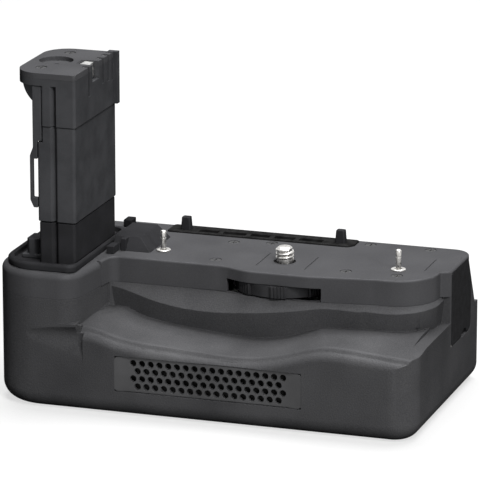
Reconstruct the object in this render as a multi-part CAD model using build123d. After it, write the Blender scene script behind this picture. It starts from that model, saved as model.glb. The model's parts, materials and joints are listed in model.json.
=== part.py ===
"""Camera battery grip with a cooling blower, as separate pieces.

Millimetres. The origin is the mouth of the tripod socket in the underside, straight below the
camera screw. +X runs along the grip, -Y is the side with the grille, +Z is up to the camera.
"""
from build123d import *
from math import cos, sin, radians
import os

# Main sizes of the body
deck_height = 47.5
left_reach = 92.0
right_reach = 56.8
front_reach = 39.5
rear_reach = 43.0
deck_rear = 32.7
deck_front = 12.2
bump_reach = 15.9
bump_left = 17.5
bump_crown_left = 8.5
bump_crown_right = 12.0
bump_to_corner = 18.4
bulge_right = 61.4
bulge_splay = 3.8
corner_inset = 3.4
corner_lead = 1.5
end_step_front = 3.4
end_panel_front = 5.0
bulge_round = 17.0
bulge_inner_round = 7.0
neck_root_round = 3.7
bump_round = 13.0
bump_right_round = 24.0
corner_round = 14.4
bump_foot_round = 12.0
small_round = 1.0
rear_round = 9.0
lower_right_round = 9.0
lower_rear_round = 4.4
lower_left_round = 8.0
deck_corner_round = 6.3
slope_corner_round = 3.0
rear_slope_reach = 5.9
base_round = 6.0
thumb_round = 5.0
thumb_drop = 19.0
shoulder_drop = 17.0
wall = 2.0
floor_thick = 3.0
deck_thick = 2.2
seam_drop = 8.8
deck_edge_round = 0.7
right_edge_round = 1.2
bulge_edge_round = 2.4
play = 0.15
running_gap = 0.3
overrun = 2.0

# Finger shelf and the lip over it
shelf_front_shares = ((-1.07, 0.615), (-0.98, 0.612), (-0.83, 0.566), (-0.6, 0.53), (-0.28, 0.507),
                      (0.05, 0.515), (0.26, 0.576), (0.41, 0.627), (0.62, 0.63), (0.83, 0.608),
                      (1.07, 0.6))
shelf_rise = 2.2
shelf_inner = 18.0
shelf_edge_reach = 4.6
shelf_edge_drop = 4.4
shelf_edge_shares = ((0.0, 1.0), (0.04, 0.8), (0.14, 0.61), (0.3, 0.46), (0.46, 0.37), (0.58, 0.3),
                     (0.66, 0.17), (0.78, 0.05), (1.0, 0.0))
neck_reach = 20.4
neck_lip_shares = ((-1.12, 0.66), (-0.956, 0.69), (-0.78, 0.805), (-0.57, 0.9), (-0.32, 0.955),
                   (-0.08, 1.0), (0.074, 0.975), (0.2, 0.917), (0.31, 0.835), (0.43, 0.784),
                   (0.55, 0.745))
neck_lip_end_share = 0.72
neck_seam_shares = ((-1.12, 0.598), (-0.7, 0.603), (-0.3, 0.65), (-0.14, 0.735), (0.035, 0.785),
                    (0.21, 0.775), (0.42, 0.69), (0.6, 0.612))
neck_seam_end_share = 0.602
neck_corner_reach = 1.2
neck_undercut = 1.6
neck_foot = 22.0
flare_reach = 7.0
scoop_drop = 17.6
scoop_height = 12.5
scoop_depth = 1.8
scoop_end = 3.1
scoop_length = 26.0
scoop_shares = ((0.0, 0.0), (0.1, 0.55), (0.28, 1.0), (0.5, 0.78), (0.78, 0.22), (1.0, 0.0))

# Dial and camera screw
screw_radius = 3.175
screw_shank_radius = 2.9
screw_thread_gap = 0.25
screw_stand = 5.25
screw_shoulder_gap = 0.3
screw_shaft_flats = 7.6
screw_foot_drop = 8.5
screw_point = 0.7
screw_hole_gap = 0.6
dial_radius = 16.6
dial_lobe_rise = 0.9
dial_lobes = 8
dial_top_drop = 4.3
dial_thick = 4.0
dial_turn_offset = 10.0
dial_ribs = 5
dial_rib_pitch = 1.15
dial_rib_radius = 0.28
dial_hub_radius = 8.0
dial_spigot_radius = 5.5
dial_spigot_length = 1.4
window_left = 16.4
window_right = 17.4
window_top_drop = 4.1
spring_radius = 3.5
spring_wall = 0.7

# Chassis under the dial
chassis_drop = 10.8
chassis_thick = 1.2
chassis_left = 55.0
chassis_end_gap = 6.8
chassis_front = 8.6
chassis_rear = 21.9
chassis_wing_rear = 30.4
chassis_wing_left = 49.7
chassis_wing_right = 11.0
chassis_cup_radius = 6.6
chassis_cup_depth = 1.1
chassis_cup_floor = 1.0
chassis_post_radius = 1.6
ledge_length = 6.0
ledge_reach = 4.0
ledge_height = 4.0
ledge_root = 2.6
deck_screw_radius = 1.85
deck_screw_head = 0.6
deck_screw_shank = 0.8
deck_screw_length = 6.0
deck_screw_slot = 0.35
front_screw_shares = ((-0.401, -0.443), (0.407, -0.443), (0.718, -0.426))
rear_screw_shares = ((-0.421, 0.538), (-0.194, 0.618), (0.38, 0.881), (0.754, 0.881))

# Pins and posts on the deck
pin_radius = 0.95
pin_shank_radius = 0.65
pin_shank_gap = 0.25
pin_stand = 7.2
pin_tip = 0.45
pin_neck_cut = 0.2
pin_neck_drop = 2.2
pin_neck_length = 0.5
pin_left_x = 43.1
pin_left_y = 0.4
pin_right_x = 39.4
pin_right_y = 1.4
pin_collar_radius = 2.5
pin_collar_height = 0.6
post_left_x = 44.3
post_right_x = 11.4
post_y = 27.4
post_width = 3.5
post_depth = 3.2
post_stand = 4.8
post_tip_share = 0.84

deck_mark_left = 7.6
deck_mark_right = 9.4
deck_mark_reach = 8.0
deck_mark_end_gap = 8.8
deck_mark_end_front = 3.0
deck_mark_end_length = 15.0

# Gasket and air duct
gasket_left = 50.0
gasket_right = 16.8
gasket_front = 22.9
gasket_rear = 31.7
gasket_stand = 0.5
gasket_groove = 0.8
gasket_rib_x_shares = (-0.8, -0.63, -0.43, -0.26, -0.08, 0.12)
gasket_rib_width = 1.6
gasket_lip = 1.9
gasket_round = 1.2
duct_wall = 1.2
duct_left = 41.3
duct_right = 9.6
duct_front = 4.5
duct_top_drop = 14.4
riser_left = 48.5
riser_right = 9.0
riser_front = 22.9
riser_rear = 30.4
riser_foot_gap = 0.7

# Blower behind the grille
blower_left = 41.3
blower_right = 9.7
blower_rear = 26.4
blower_front = 11.0
blower_top = 21.3
blower_wall = 1.3
nozzle_left = 45.0
nozzle_right = 16.0
nozzle_rear = 19.6
blower_centre_x = 25.5
blower_centre_y = 8.6
impeller_radius = 12.8
impeller_hub = 5.0
impeller_hub_height = 6.0
impeller_gap = 0.7
impeller_disc = 1.0
impeller_blades = 26
impeller_blade_thick = 0.7
impeller_blade_depth = 3.6
impeller_lean = 28.0
volute_radius = 13.9
motor_radius = 4.7
motor_height = 4.4
shaft_radius = 1.0
shaft_gap = 0.05
inlet_radius = 9.6
cover_thick = 1.2

# Grille and filter
grille_left = 47.0
grille_right = 18.2
grille_top = 21.0
grille_bottom = 8.8
grille_thick = 1.4
grille_recess = 0.7
grille_frame_round = 1.2
grille_pitch = 3.08
grille_row_pitch = 2.66
grille_hole = 2.3
grille_rows = 4
grille_columns = 18
filter_thick = 1.2
filter_gap = 0.2

# Battery chamber
bay_right = 42.2
bay_rear = 40.6
bay_wall = 0.8
battery_length = 56.8
battery_width = 38.4
battery_height = 21.0
battery_gap = 0.3
bay_base_gap = 0.4
contact_block_width = 22.0
contact_block_height = 9.0
contact_block_depth = 1.2
contact_count = 4
contact_pitch = 3.6
contact_radius = 0.7
contact_stand = 1.2
door_edge_gap = 0.35
door_pin_radius = 0.8
door_pin_gap = 0.05
door_pin_from_bay = 2.0
door_pin_y = 41.0
door_pin_tail = 1.0
door_knuckle_radius = 1.7
door_swing_radius = 2.75
latch_width = 12.0
latch_height = 5.0
latch_thick = 0.9
latch_travel = 2.0
latch_tongue = 1.6
latch_tongue_width = 6.0
latch_rib_count = 4
latch_recess_extra = 0.4
catch_width = 4.0
catch_height = 5.0
catch_length = 2.6
catch_travel = 2.0
catch_nose = 1.4
catch_house_wall = 1.0
catch_from_mouth = 4.0

# Ports and their cover
port_cover_front = 6.5
port_swing_gap = 0.85
port_cover_rear = 30.4
port_cover_top_drop = 1.2
port_cover_bottom_drop = 26.6
port_cover_thick = 1.7
port_cover_round = 2.4
port_hinge_round = 1.2
port_recess_round = 0.7
port_seam = 0.25
port_hinge_inset = 0.7
port_hinge_from_edge = 0.55
port_hinge_radius = 0.4
port_hinge_tail = 1.0
port_notch_radius = 4.2
port_notch_depth = 0.9
port_frame_thick = 1.3
port_frame_lap = 1.2
port_frame_gap = 0.2
network_width = 15.9
network_height = 12.8
network_depth = 15.0
network_centre_y = 18.4
network_mouth_width = 11.9
network_mouth_height = 8.2
network_step_width = 6.2
network_step_height = 2.2
usb_width = 8.94
usb_height = 3.26
usb_depth = 7.6
usb_wall = 0.3
usb_tongue_thick = 0.7
usb_tongue_width = 6.7
board_thick = 1.2
board_part_shares = ((0.02, 0.1, 0.3, 0.3, 1.2), (0.05, 0.6, 0.18, 0.18, 0.9),
                     (0.42, -0.05, 0.2, 0.14, 1.6), (0.3, 0.75, 0.16, 0.1, 0.7))
board_drop = 14.9
board_left = 18.6
board_front = 6.0
board_rear = 29.4
port_board_length = 10.0
port_board_width = 16.0
port_board_thick = 1.0
board_post_radius = 2.2
board_post_inset = 3.0

# Underside
socket_radius = 8.0
socket_flange = 1.0
socket_body_radius = 5.6
socket_depth = 5.6
pad_outer = 17.0
pad_depth = 0.9
pad_tread = 0.35
pad_treads = 3
base_plate_left = 78.0
base_plate_end_gap = 10.8
base_plate_front = 26.0
base_plate_rear = 32.0
base_plate_thick = 1.0
base_plate_round = 6.0
base_plate_gap = 0.15
base_screw_radius = 2.0
base_screw_head = 0.7
base_screw_shank = 0.85
base_screw_length = 2.2
base_screw_inset = 5.0
thumb_pad_left = 6.0
thumb_pad_end_gap = 12.8
thumb_pad_bottom = 8.5
thumb_pad_top = 22.0
thumb_pad_depth = 0.9
thumb_pad_round = 5.0

# Raised platform and tower
collar_left = 89.3
collar_right = 61.9
collar_front = 37.2
collar_rear = 17.0
collar_height = 2.5
collar_rim = 2.2
collar_floor = 0.8
collar_round = 12.6
collar_inner_round = 3.4
tower_right = 63.0
tower_front = 31.5
tower_rear = 9.5
tower_left = 77.2
tower_skin = 0.4
tower_round = 1.0
foot_top = 15.4
foot_inset = 0.7
tower_seam = 0.3
flute_from_left = 5.3
flute_width = 2.2
flute_depth = 1.3
sleeve_wall = 1.4
head_left = 85.3
head_rear = 6.6
head_bottom = 48.3
head_top = 66.3
head_flange = 4.3
head_round = 9.0
head_wall = 1.5
head_skirt_left = 75.2
bracket_drop = 8.5
bracket_curve_shares = (0.62, 0.66)
bracket_front = 27.5
bracket_rear = 3.0
head_lip = 1.2
head_lip_width = 2.4
head_lip_gap = 0.8
cap_thick = 2.0
contact_slot_y_shares = (-0.565, -0.36, -0.125, 0.035, 0.165)
contact_slot_width_shares = (0.055, 0.2, 0.06, 0.06, 0.055)
contact_slot_low_shares = (0.56, 0.33, 0.48, 0.5, 0.53)
contact_slot_depth = 2.4
contact_tab_reach = 2.6
contact_tab_thick = 0.5
blade_thick = 0.7
button_recess_radius = 5.8
button_recess_depth = 1.4
button_hole_radius = 1.1
button_hole_depth = 0.3
button_x = 77.0
button_y = 11.5
cap_mark_x = 68.6
cap_mark_front = 14.1
cap_mark_length = 5.5
mark_width = 0.35
mark_depth = 0.25
head_screw_radius = 1.85
head_screw_shares = ((-0.917, -0.714), (-0.898, 0.019))
head_screw_sink = 0.9
head_screw_length = 5.0
clip_lap = 43.0
clip_top = 40.7
clip_shoulder = 37.8
clip_bottom = 22.6
clip_root = 20.0
clip_stand = 2.7
clip_thick = 1.2
clip_depth = 1.5
clip_root_reach = 1.6
clip_front = 31.1
clip_rear = 24.4
clip_seat_gap = 0.3
clip_slot_end = 1.0
lug_left = 83.3
lug_right = 78.8
lug_front = 26.0
lug_rear = 18.0
lug_height = 7.5
lug_chamfer = 1.4
lug_plate = 1.4
lug_plate_reach = 3.4
cable_width = 9.0
cable_thick = 0.5
cable_x = 70.4
cable_front = 15.0
cable_socket_length = 8.0
cable_socket_height = 3.2

# Wedge block that keeps the camera's battery door
keeper_left = 60.2
keeper_right = 46.4
keeper_front = 4.9
keeper_rear = 16.6
keeper_height = 4.1
keeper_top_right = 51.2
keeper_top_front = 1.0
keeper_rib_width = 1.8
keeper_rib_x = 56.0
keeper_step = 2.6
keeper_step_height = 2.6
keeper_back_left = 66.4
keeper_back_right = 63.4
keeper_back_y = 24.0
keeper_back_depth = 5.0
keeper_back_height = 2.6


def block(x_low, x_high, y_low, y_high, z_low, z_high):
    centre = ((x_low + x_high) / 2, (y_low + y_high) / 2, (z_low + z_high) / 2)
    return Pos(*centre) * Box(x_high - x_low, y_high - y_low, z_high - z_low)


def rod(x, y, z_low, z_high, radius):
    return Pos(x, y, (z_low + z_high) / 2) * Cylinder(radius, z_high - z_low)


def rod_along_x(y, z, x_low, x_high, radius):
    return Pos((x_low + x_high) / 2, y, z) * Rot(0, 90, 0) * Cylinder(radius, x_high - x_low)


def rod_along_y(x, z, y_low, y_high, radius):
    return Pos(x, (y_low + y_high) / 2, z) * Rot(90, 0, 0) * Cylinder(radius, y_high - y_low)


def cone(x, y, z_low, z_high, low_radius, high_radius):
    return Pos(x, y, (z_low + z_high) / 2) * Cone(low_radius, high_radius, z_high - z_low)


def outline_face(corners):
    points = [(x, y) for x, y, r in corners]
    return make_face(FilletPolyline(*points, radius=[r for x, y, r in corners], close=True))


def prism(face, z_low, z_high):
    return extrude(Pos(0, 0, z_low) * face, amount=z_high - z_low, dir=(0, 0, 1))


def rounded_block(x_low, x_high, y_low, y_high, z_low, z_high, radius):
    corners = ((x_low, y_low, radius), (x_high, y_low, radius), (x_high, y_high, radius),
               (x_low, y_high, radius))
    return prism(outline_face(corners), z_low, z_high)


def rounded_panel_y(x_low, x_high, z_low, z_high, y_low, y_high, radius):
    """A plate that faces along Y, with round corners."""
    flat = rounded_block(x_low, x_high, -z_high, -z_low, y_low, y_high, radius)
    return Rot(-90, 0, 0) * flat


def rounded_panel_x(y_low, y_high, z_low, z_high, x_low, x_high, radius):
    """A plate that faces along X, with round corners."""
    flat = rounded_block(-z_high, -z_low, y_low, y_high, x_low, x_high, radius)
    return Rot(0, 90, 0) * flat


def deck_level(drop):
    return deck_height - drop


seam_z = deck_level(seam_drop)


def bulge_face(inset=0):
    left, right = -left_reach + inset, -bulge_right - inset
    front, rear = -front_reach + inset, deck_rear - inset
    return outline_face(((left, front, bulge_round - inset),
                         (right, front, bulge_inner_round - inset),
                         (right + bulge_splay, -deck_front + wall, 0),
                         (right + bulge_splay, rear, 0),
                         (left, rear, rear_round - inset)))


def neck_root(z_low, z_high):
    """The round in the corner between the bulge and the front wall under the deck."""
    x, y = -bulge_right + bulge_splay, -deck_front
    reach = neck_root_round * 2
    lean = reach * bulge_splay / (front_reach - deck_front)
    return prism(outline_face(((x - lean, y - reach, 0), (x, y, neck_root_round), (x + reach, y, 0),
                               (x + reach, y + overrun, 0), (x - overrun, y + overrun, 0),
                               (x - lean - overrun, y - reach, 0))), z_low, z_high)


def deck_face(inset=0):
    joint_x = -bulge_right - neck_root_round
    front, right = -deck_front + inset, right_reach - inset
    crown = -bump_reach + inset
    corner_x = corner_right - inset
    return outline_face(((joint_x, front, 0),
                         (-bump_left, front, bump_round),
                         (-bump_crown_left, crown, bump_round),
                         (bump_crown_right, crown, bump_right_round),
                         (bump_right, front, bump_foot_round),
                         (corner_x, front, corner_round - inset),
                         (corner_x, end_step_front + inset, small_round),
                         (right, end_panel_front + inset, small_round),
                         (right, deck_rear - inset, deck_corner_round - inset * 2),
                         (joint_x, deck_rear - inset, 0)))


def upper_form(z_low, z_high):
    """Everything inside the outline of the deck and the bulge, between two heights."""
    return (prism(bulge_face(), z_low, z_high) + prism(deck_face(), z_low, z_high)
            + neck_root(z_low, z_high))


def upper_hollow(z_low, z_high):
    link = block(-bulge_right - wall - overrun, -bulge_right + wall + overrun,
                 -deck_front + wall, deck_rear - wall, z_low, z_high)
    return prism(bulge_face(wall), z_low, z_high) + prism(deck_face(wall), z_low, z_high) + link


def lower_face(inset=0):
    left, right = -left_reach + inset, right_reach - inset
    front, rear = -front_reach + inset, rear_reach - inset
    return outline_face(((left, front, bulge_round - inset),
                         (right, front, lower_right_round - inset),
                         (right, rear, lower_rear_round - inset),
                         (left, rear, lower_left_round - inset)))


def rear_slope(inset=0):
    """The back wall, which leans out from the deck down to the bulge behind."""
    left, right, front = -left_reach + inset, right_reach - inset, deck_rear / 2
    levels = ((deck_rear + rear_slope_reach, slope_corner_round, thumb_top - small_round),
              (deck_rear, deck_corner_round, deck_level(bulge_edge_round)))
    sections = []
    for rear, corner, z in levels:
        sections.append(Pos(0, 0, z) * outline_face(((left, front, 0), (right, front, 0),
                                                     (right, rear - inset, corner - inset),
                                                     (left, rear - inset, rear_round - inset))))
    return loft(sections, ruled=True)


def front_face(shares, end_share, shift, corner_shift):
    """A face bounded by a smooth front line, the round right corner and a straight back."""
    points = [(x * right_reach, -y * neck_reach - shift) for x, y in shares]
    points.append((corner_right - corner_round - corner_lead, -end_share * neck_reach - shift))
    right = corner_right + corner_shift
    front = Spline(*points, tangents=[(1, 0), (1, 0)])
    corner = FilletPolyline(points[-1], (right, points[-1][1]), (right, end_panel_front),
                            radius=corner_round)
    back = Polyline((right, end_panel_front), (points[0][0], end_panel_front), points[0])
    return make_face([front, corner, back])


def neck_form():
    """The front wall under the seam: it flares to a lip, then falls back to the shelf."""
    foot_z = deck_level(neck_foot)
    foot = front_face(neck_lip_shares, neck_lip_end_share, -neck_undercut,
                      neck_corner_reach - neck_undercut)
    lip = front_face(neck_lip_shares, neck_lip_end_share, 0, neck_corner_reach)
    neck = loft([Pos(0, 0, foot_z) * foot, Pos(0, 0, seam_z) * lip], ruled=True)
    flare_low = seam_z - flare_reach
    flare_foot = front_face(neck_seam_shares, neck_seam_end_share, flare_reach, flare_reach)
    flare_top = front_face(neck_seam_shares, neck_seam_end_share, 0, 0)
    flare = loft([Pos(0, 0, flare_low) * flare_foot, Pos(0, 0, seam_z) * flare_top], ruled=True)
    flare += block(-left_reach, right_reach + flare_reach, -front_reach, end_panel_front,
                   foot_z - overrun, flare_low)
    return neck & flare


def space_over_shelf():
    """What is cut away over the finger shelf; its underside is the shelf."""
    front = [(x * right_reach, z * deck_height) for x, z in shelf_front_shares]
    levels = [(-front_reach - overrun, -shelf_edge_drop)]
    levels += [(-front_reach + in_share * shelf_edge_reach, -down_share * shelf_edge_drop)
               for in_share, down_share in shelf_edge_shares]
    levels += [(-shelf_inner + overrun * 2, shelf_rise)]
    sections = []
    for y, rise in levels:
        curve = Spline(*[(x, z + rise) for x, z in front])
        top = Polyline((front[-1][0], front[-1][1] + rise), (front[-1][0], deck_height),
                       (front[0][0], deck_height), (front[0][0], front[0][1] + rise))
        sections.append(Pos(0, y, 0) * Rot(90, 0, 0) * make_face([curve, top]))
    return loft(sections, ruled=True)


def lower_form():
    """Outer form of the lower shell, closed, up to the seam."""
    body = prism(lower_face(), 0, seam_z)
    body = fillet(body.edges().group_by(Axis.Z)[0], base_round)
    left, right = -left_reach - overrun, right_reach + overrun
    above = block(left, right, -front_reach - overrun, end_panel_front, shoulder_z, seam_z + overrun)
    above += block(left, right, end_panel_front, rear_reach + overrun, thumb_top, seam_z + overrun)
    kept = upper_form(0, seam_z + overrun) + neck_form() + rear_slope()
    body = body - (above - kept)
    front_space = space_over_shelf() & block(-bulge_right, right_reach + overrun,
                                             -front_reach - overrun * 2, -shelf_inner + overrun * 2,
                                             0, seam_z + overrun)
    front_space = front_space - prism(bulge_face(), 0, seam_z + overrun * 2)
    end_space = block(corner_right - small_round, right_reach + overrun, -front_reach - overrun,
                      end_panel_front, shoulder_z - small_round, seam_z + overrun)
    body = body - ((front_space + end_space) - neck_form())
    return body - space_behind_thumb_edge()


def space_behind_thumb_edge():
    """What rounds the long top edge of the bulge at the back."""
    y, z = rear_reach - thumb_round, thumb_top - thumb_round
    left, right = -left_reach - overrun, right_reach + overrun
    edge = block(left, right, y, rear_reach + overrun, z, thumb_top + overrun)
    return edge - rod_along_x(y, z, left - overrun, right + overrun, thumb_round)


def thumb_hollow(z_low):
    """The hollow of the bulge at the back, under its rounded edge."""
    y, z = rear_reach - thumb_round, thumb_top - thumb_round
    left, right = -left_reach + wall, right_reach - wall
    low = block(left + wall, right - wall, deck_rear - wall - overrun, y, z_low, thumb_top - wall)
    low += block(left + wall, right - wall, y - overrun, rear_reach - wall, z_low, z)
    return low + rod_along_x(y, z, left + wall, right - wall, thumb_round - wall)


# Places that follow from the sizes above
corner_right = right_reach - corner_inset
bump_right = corner_right - bump_to_corner
chassis_right = right_reach - chassis_end_gap
base_plate_right = right_reach - base_plate_end_gap
thumb_pad_right = right_reach - thumb_pad_end_gap
thumb_top = deck_level(thumb_drop)
shoulder_z = deck_level(shoulder_drop)
bay_floor = floor_thick + bay_base_gap
bay_inner_floor = bay_floor + bay_wall
bay_ceiling = bay_inner_floor + battery_height + battery_gap * 2
bay_top = bay_ceiling + bay_wall
bay_inner_right = -bay_right - bay_wall
bay_inner_left = bay_inner_right - battery_width - battery_gap * 2
bay_left = -bay_inner_left + bay_wall
contact_face = bay_rear - battery_length - battery_gap
bay_front = contact_face - bay_wall
door_left = -bay_left - door_pin_from_bay
door_right = bay_inner_right + bay_wall - door_edge_gap
door_low = bay_inner_floor - door_edge_gap
door_high = bay_top + door_edge_gap
door_inner = bay_rear + running_gap
window_top = deck_level(window_top_drop)
window_bottom = seam_z
dial_top = deck_level(dial_top_drop)
dial_bottom = dial_top - dial_thick
chassis_top = deck_level(chassis_drop)
chassis_bottom = chassis_top - chassis_thick
board_base = chassis_bottom - board_drop
deck_underside = deck_level(deck_thick)
hub_bottom = chassis_top + running_gap
screw_foot = deck_level(screw_foot_drop)
cup_floor = chassis_bottom - chassis_cup_depth
duct_top = deck_level(duct_top_drop)
cover_top = blower_top + cover_thick
duct_bottom = cover_top + play
riser_foot = bay_top + riser_foot_gap
collar_floor_z = deck_height + collar_floor
front_inner = -front_reach + wall
port_top = deck_level(port_cover_top_drop)
port_bottom = deck_level(port_cover_bottom_drop)
port_face = right_reach - port_cover_thick
port_axis_x = right_reach - port_hinge_inset
port_axis_y = port_cover_front + port_hinge_from_edge
network_base = board_base + board_thick
usb_base = chassis_top + port_board_thick
frame_front = port_face - port_frame_gap
head_flange_low = deck_height + head_top - head_flange
head_high = deck_height + head_top


def deck_screw_places():
    front = [(x * right_reach, y * deck_front) for x, y in front_screw_shares]
    rear = [(x * right_reach, y * deck_rear) for x, y in rear_screw_shares]
    return front + rear


def head_screw_places():
    return [(x * head_left, y * tower_front) for x, y in head_screw_shares]


def base_screw_places():
    inset = base_screw_inset
    return [(x, y) for x in (-base_plate_left + inset, base_plate_right - inset)
            for y in (-base_plate_front + inset, base_plate_rear - inset)]


def board_post_places():
    inset = board_post_inset
    return [(x, y) for x in (board_left + inset, frame_front - port_frame_thick - inset)
            for y in (-board_front + inset, board_rear - inset)]


def ledge_places():
    """Left end, front and rear of the four ledges that carry the chassis."""
    rear_low, rear_high = deck_rear - wall - ledge_reach, deck_rear + ledge_root
    front_low, front_high = -deck_front + wall - play, -deck_front + wall + ledge_reach
    left = -chassis_left
    return ((left, front_low, front_high), (chassis_right - ledge_length, front_low, front_high),
            (left, rear_low, rear_high), (chassis_wing_right + ledge_length, rear_low, rear_high))


def lower_case():
    body = lower_form()
    hollow_top = deck_height * min(share for x, share in shelf_front_shares) - wall
    body -= prism(lower_face(wall), floor_thick, hollow_top)
    body -= upper_hollow(hollow_top - overrun, seam_z + overrun)
    body -= rear_slope(wall)
    body -= thumb_hollow(min(hollow_top, thumb_top - thumb_round) - overrun)
    body += scoop_backing()
    body -= block(-bay_left - play, -bay_right + play, bay_front - play, bay_rear + overrun,
                  bay_floor - play, bay_top + play)
    body -= battery_door_space()
    body -= block(-grille_left, grille_right, -front_reach - overrun, front_inner + overrun,
                  grille_bottom, grille_top)
    body -= port_recess()
    body -= rod(0, 0, -overrun, floor_thick + overrun, socket_body_radius + play)
    body -= rod(0, 0, -overrun, pad_depth + play, pad_outer + play)
    body -= base_plate_recess()
    for x, y in base_screw_places():
        body -= rod(x, y, -overrun, base_screw_length + play, base_screw_shank + play)
    body -= thumb_pad_block(play)
    for x, y in board_post_places():
        body += rod(x, y, floor_thick - play, board_base, board_post_radius)
    for x, y_low, y_high in ledge_places():
        body += block(x, x + ledge_length, y_low, y_high, chassis_bottom - ledge_height,
                      chassis_bottom)
    body -= rod(door_left, door_pin_y, door_low - door_pin_tail, door_high + door_pin_tail,
                door_pin_radius + play)
    return body - finger_scoop()


def finger_scoop():
    """A hollow for a fingertip in the front of the bulge; it fades out to the left."""
    top = deck_level(scoop_drop)
    points = [(-front_reach + deep * scoop_depth, top - down * scoop_height)
              for down, deep in scoop_shares]
    out = -front_reach - overrun
    back = Polyline(points[-1], (out, top - scoop_height), (out, top), points[0])
    section = Plane.YZ * make_face([Spline(*points), back])
    section = Pos(-bulge_right + scoop_end, 0, 0) * section
    lean = scoop_depth / scoop_length
    return extrude(section, amount=scoop_length, dir=(-1, -lean, 0))


def scoop_backing():
    """Keeps the wall's thickness behind the scoop."""
    front = -front_reach + wall - play
    top = deck_level(scoop_drop)
    return block(-left_reach + bulge_round, -bulge_right + overrun, front, front + scoop_depth,
                 top - scoop_height, top)


def battery_door_space():
    space = block(door_left, door_right + door_edge_gap, door_inner - running_gap,
                  rear_reach + overrun, door_low - door_edge_gap, door_high + door_edge_gap)
    space += rod(door_left, door_pin_y, door_low - door_edge_gap, door_high + door_edge_gap,
                 door_swing_radius)
    z = (door_low + door_high) / 2
    pocket = latch_tongue_width / 2 + running_gap
    space += block(door_right - overrun, door_right + latch_tongue + running_gap,
                   rear_reach - latch_thick * 2, rear_reach + overrun, z - pocket, z + pocket)
    return space


def port_recess():
    low, high = port_bottom - port_seam, port_top + port_seam
    front = port_cover_front - port_swing_gap
    space = port_panel(front, port_cover_rear + port_seam, low, high, port_recess_round, port_seat(),
                       right_reach + overrun)
    return space + rod(port_axis_x, port_axis_y, port_bottom - port_hinge_tail,
                       port_top + port_hinge_tail / 2, port_hinge_radius + play)


def port_panel(front, rear, low, high, hinge_round, x_low, x_high):
    """A plate in the right side, with tighter corners at its hinge."""
    corners = ((-high, front, hinge_round), (-low, front, hinge_round),
               (-low, rear, port_cover_round), (-high, rear, port_cover_round))
    return Rot(0, 90, 0) * prism(outline_face(corners), x_low, x_high)


def base_plate_recess():
    gap = base_plate_gap
    return rounded_block(-base_plate_left - gap, base_plate_right + gap, -base_plate_front - gap,
                         base_plate_rear + gap, -overrun, base_plate_thick + gap,
                         base_plate_round)


def thumb_pad_block(gap):
    return rounded_panel_y(thumb_pad_left - gap, thumb_pad_right + gap, thumb_pad_bottom - gap,
                           thumb_pad_top + gap, rear_reach - thumb_pad_depth - gap,
                           rear_reach + (overrun if gap else 0), thumb_pad_round)


def upper_case():
    bulge = prism(bulge_face(), seam_z, deck_height)
    bulge = fillet(bulge.edges().group_by(Axis.Z)[-1], bulge_edge_round)
    deck = prism(deck_face(), seam_z, deck_height)
    body = bulge + fillet(deck.edges().group_by(Axis.Z)[-1], deck_edge_round)
    root = neck_root(seam_z, deck_height)
    bend = root.edges().filter_by(GeomType.CIRCLE).group_by(Axis.Z)[-1]
    body += fillet(bend, deck_edge_round)
    body += rear_slope() & block(-left_reach, right_reach, 0, rear_reach, seam_z, deck_height)
    body -= space_beyond_right_edge()
    body += block(-collar_right - overrun * 2, -bulge_right + overrun * 2, -deck_front + overrun,
                  deck_rear - overrun, seam_z, deck_height)
    body -= upper_hollow(seam_z - overrun, deck_underside)
    body -= rear_slope(wall)
    body -= block(-window_left, window_right, -neck_reach, -deck_front + wall + overrun * 2,
                  window_bottom - overrun, window_top)
    body -= rod(0, 0, deck_underside - overrun, deck_height + overrun, screw_radius + screw_hole_gap)
    for x, y in (left_pin_place(), right_pin_place()):
        body -= rod(x, y, deck_underside - overrun, deck_height + overrun, pin_radius + play)
    for x, y in deck_screw_places():
        body -= rod(x, y, deck_underside - overrun, deck_height + overrun, deck_screw_shank + play)
        body -= rod(x, y, deck_height - deck_screw_head, deck_height + overrun,
                    deck_screw_radius + play)
    body -= gasket_block(gasket_groove, play)
    for x_low, x_high in gasket_slots():
        body -= block(x_low, x_high, gasket_front + gasket_lip, gasket_rear - gasket_lip * 2,
                      deck_underside - overrun, deck_height)
    body -= cable_block(deck_underside - overrun, deck_height + overrun, play)
    for x, y_low, y_high in deck_marks():
        body -= block(x - mark_width / 2, x + mark_width / 2, y_low, y_high,
                      deck_height - mark_depth, deck_height + overrun)
    return body - port_recess()


def space_beyond_right_edge():
    """What rounds the deck's edge over the port cover."""
    x, z = right_reach - right_edge_round, deck_height - right_edge_round
    front, rear = -overrun, deck_rear + overrun
    edge = block(x, right_reach + overrun, front, rear, z, deck_height + overrun)
    return edge - rod_along_y(x, z, front - overrun, rear + overrun, right_edge_round)


def deck_marks():
    reach = deck_mark_reach
    end = right_reach - deck_mark_end_gap
    return ((-deck_mark_left, -reach, reach), (deck_mark_right, -reach, reach),
            (end, deck_mark_end_front, deck_mark_end_front + deck_mark_end_length))


def left_pin_place():
    return (-pin_left_x, -pin_left_y)


def right_pin_place():
    return (pin_right_x, pin_right_y)


def gasket_block(depth, gap):
    """The strip on the deck: square at the left, cut back at the right end."""
    depth_y = gasket_rear - gasket_front
    corners = ((-gasket_left - gap, gasket_front - gap, gasket_round),
               (gasket_right - gasket_lip + gap, gasket_front - gap, gasket_round),
               (gasket_right + gap, gasket_front + depth_y / 4, gasket_round),
               (gasket_right + gap, gasket_rear + gap, gasket_round),
               (-gasket_left - gap, gasket_rear + gap, gasket_round))
    top = deck_height + (overrun if gap else gasket_stand)
    return prism(outline_face(corners), deck_height - depth, top)


def gasket_slots():
    ribs = [x * gasket_left for x in gasket_rib_x_shares]
    half = gasket_rib_width / 2
    return [(a + half, b - half) for a, b in zip(ribs[:-1], ribs[1:])]


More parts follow.
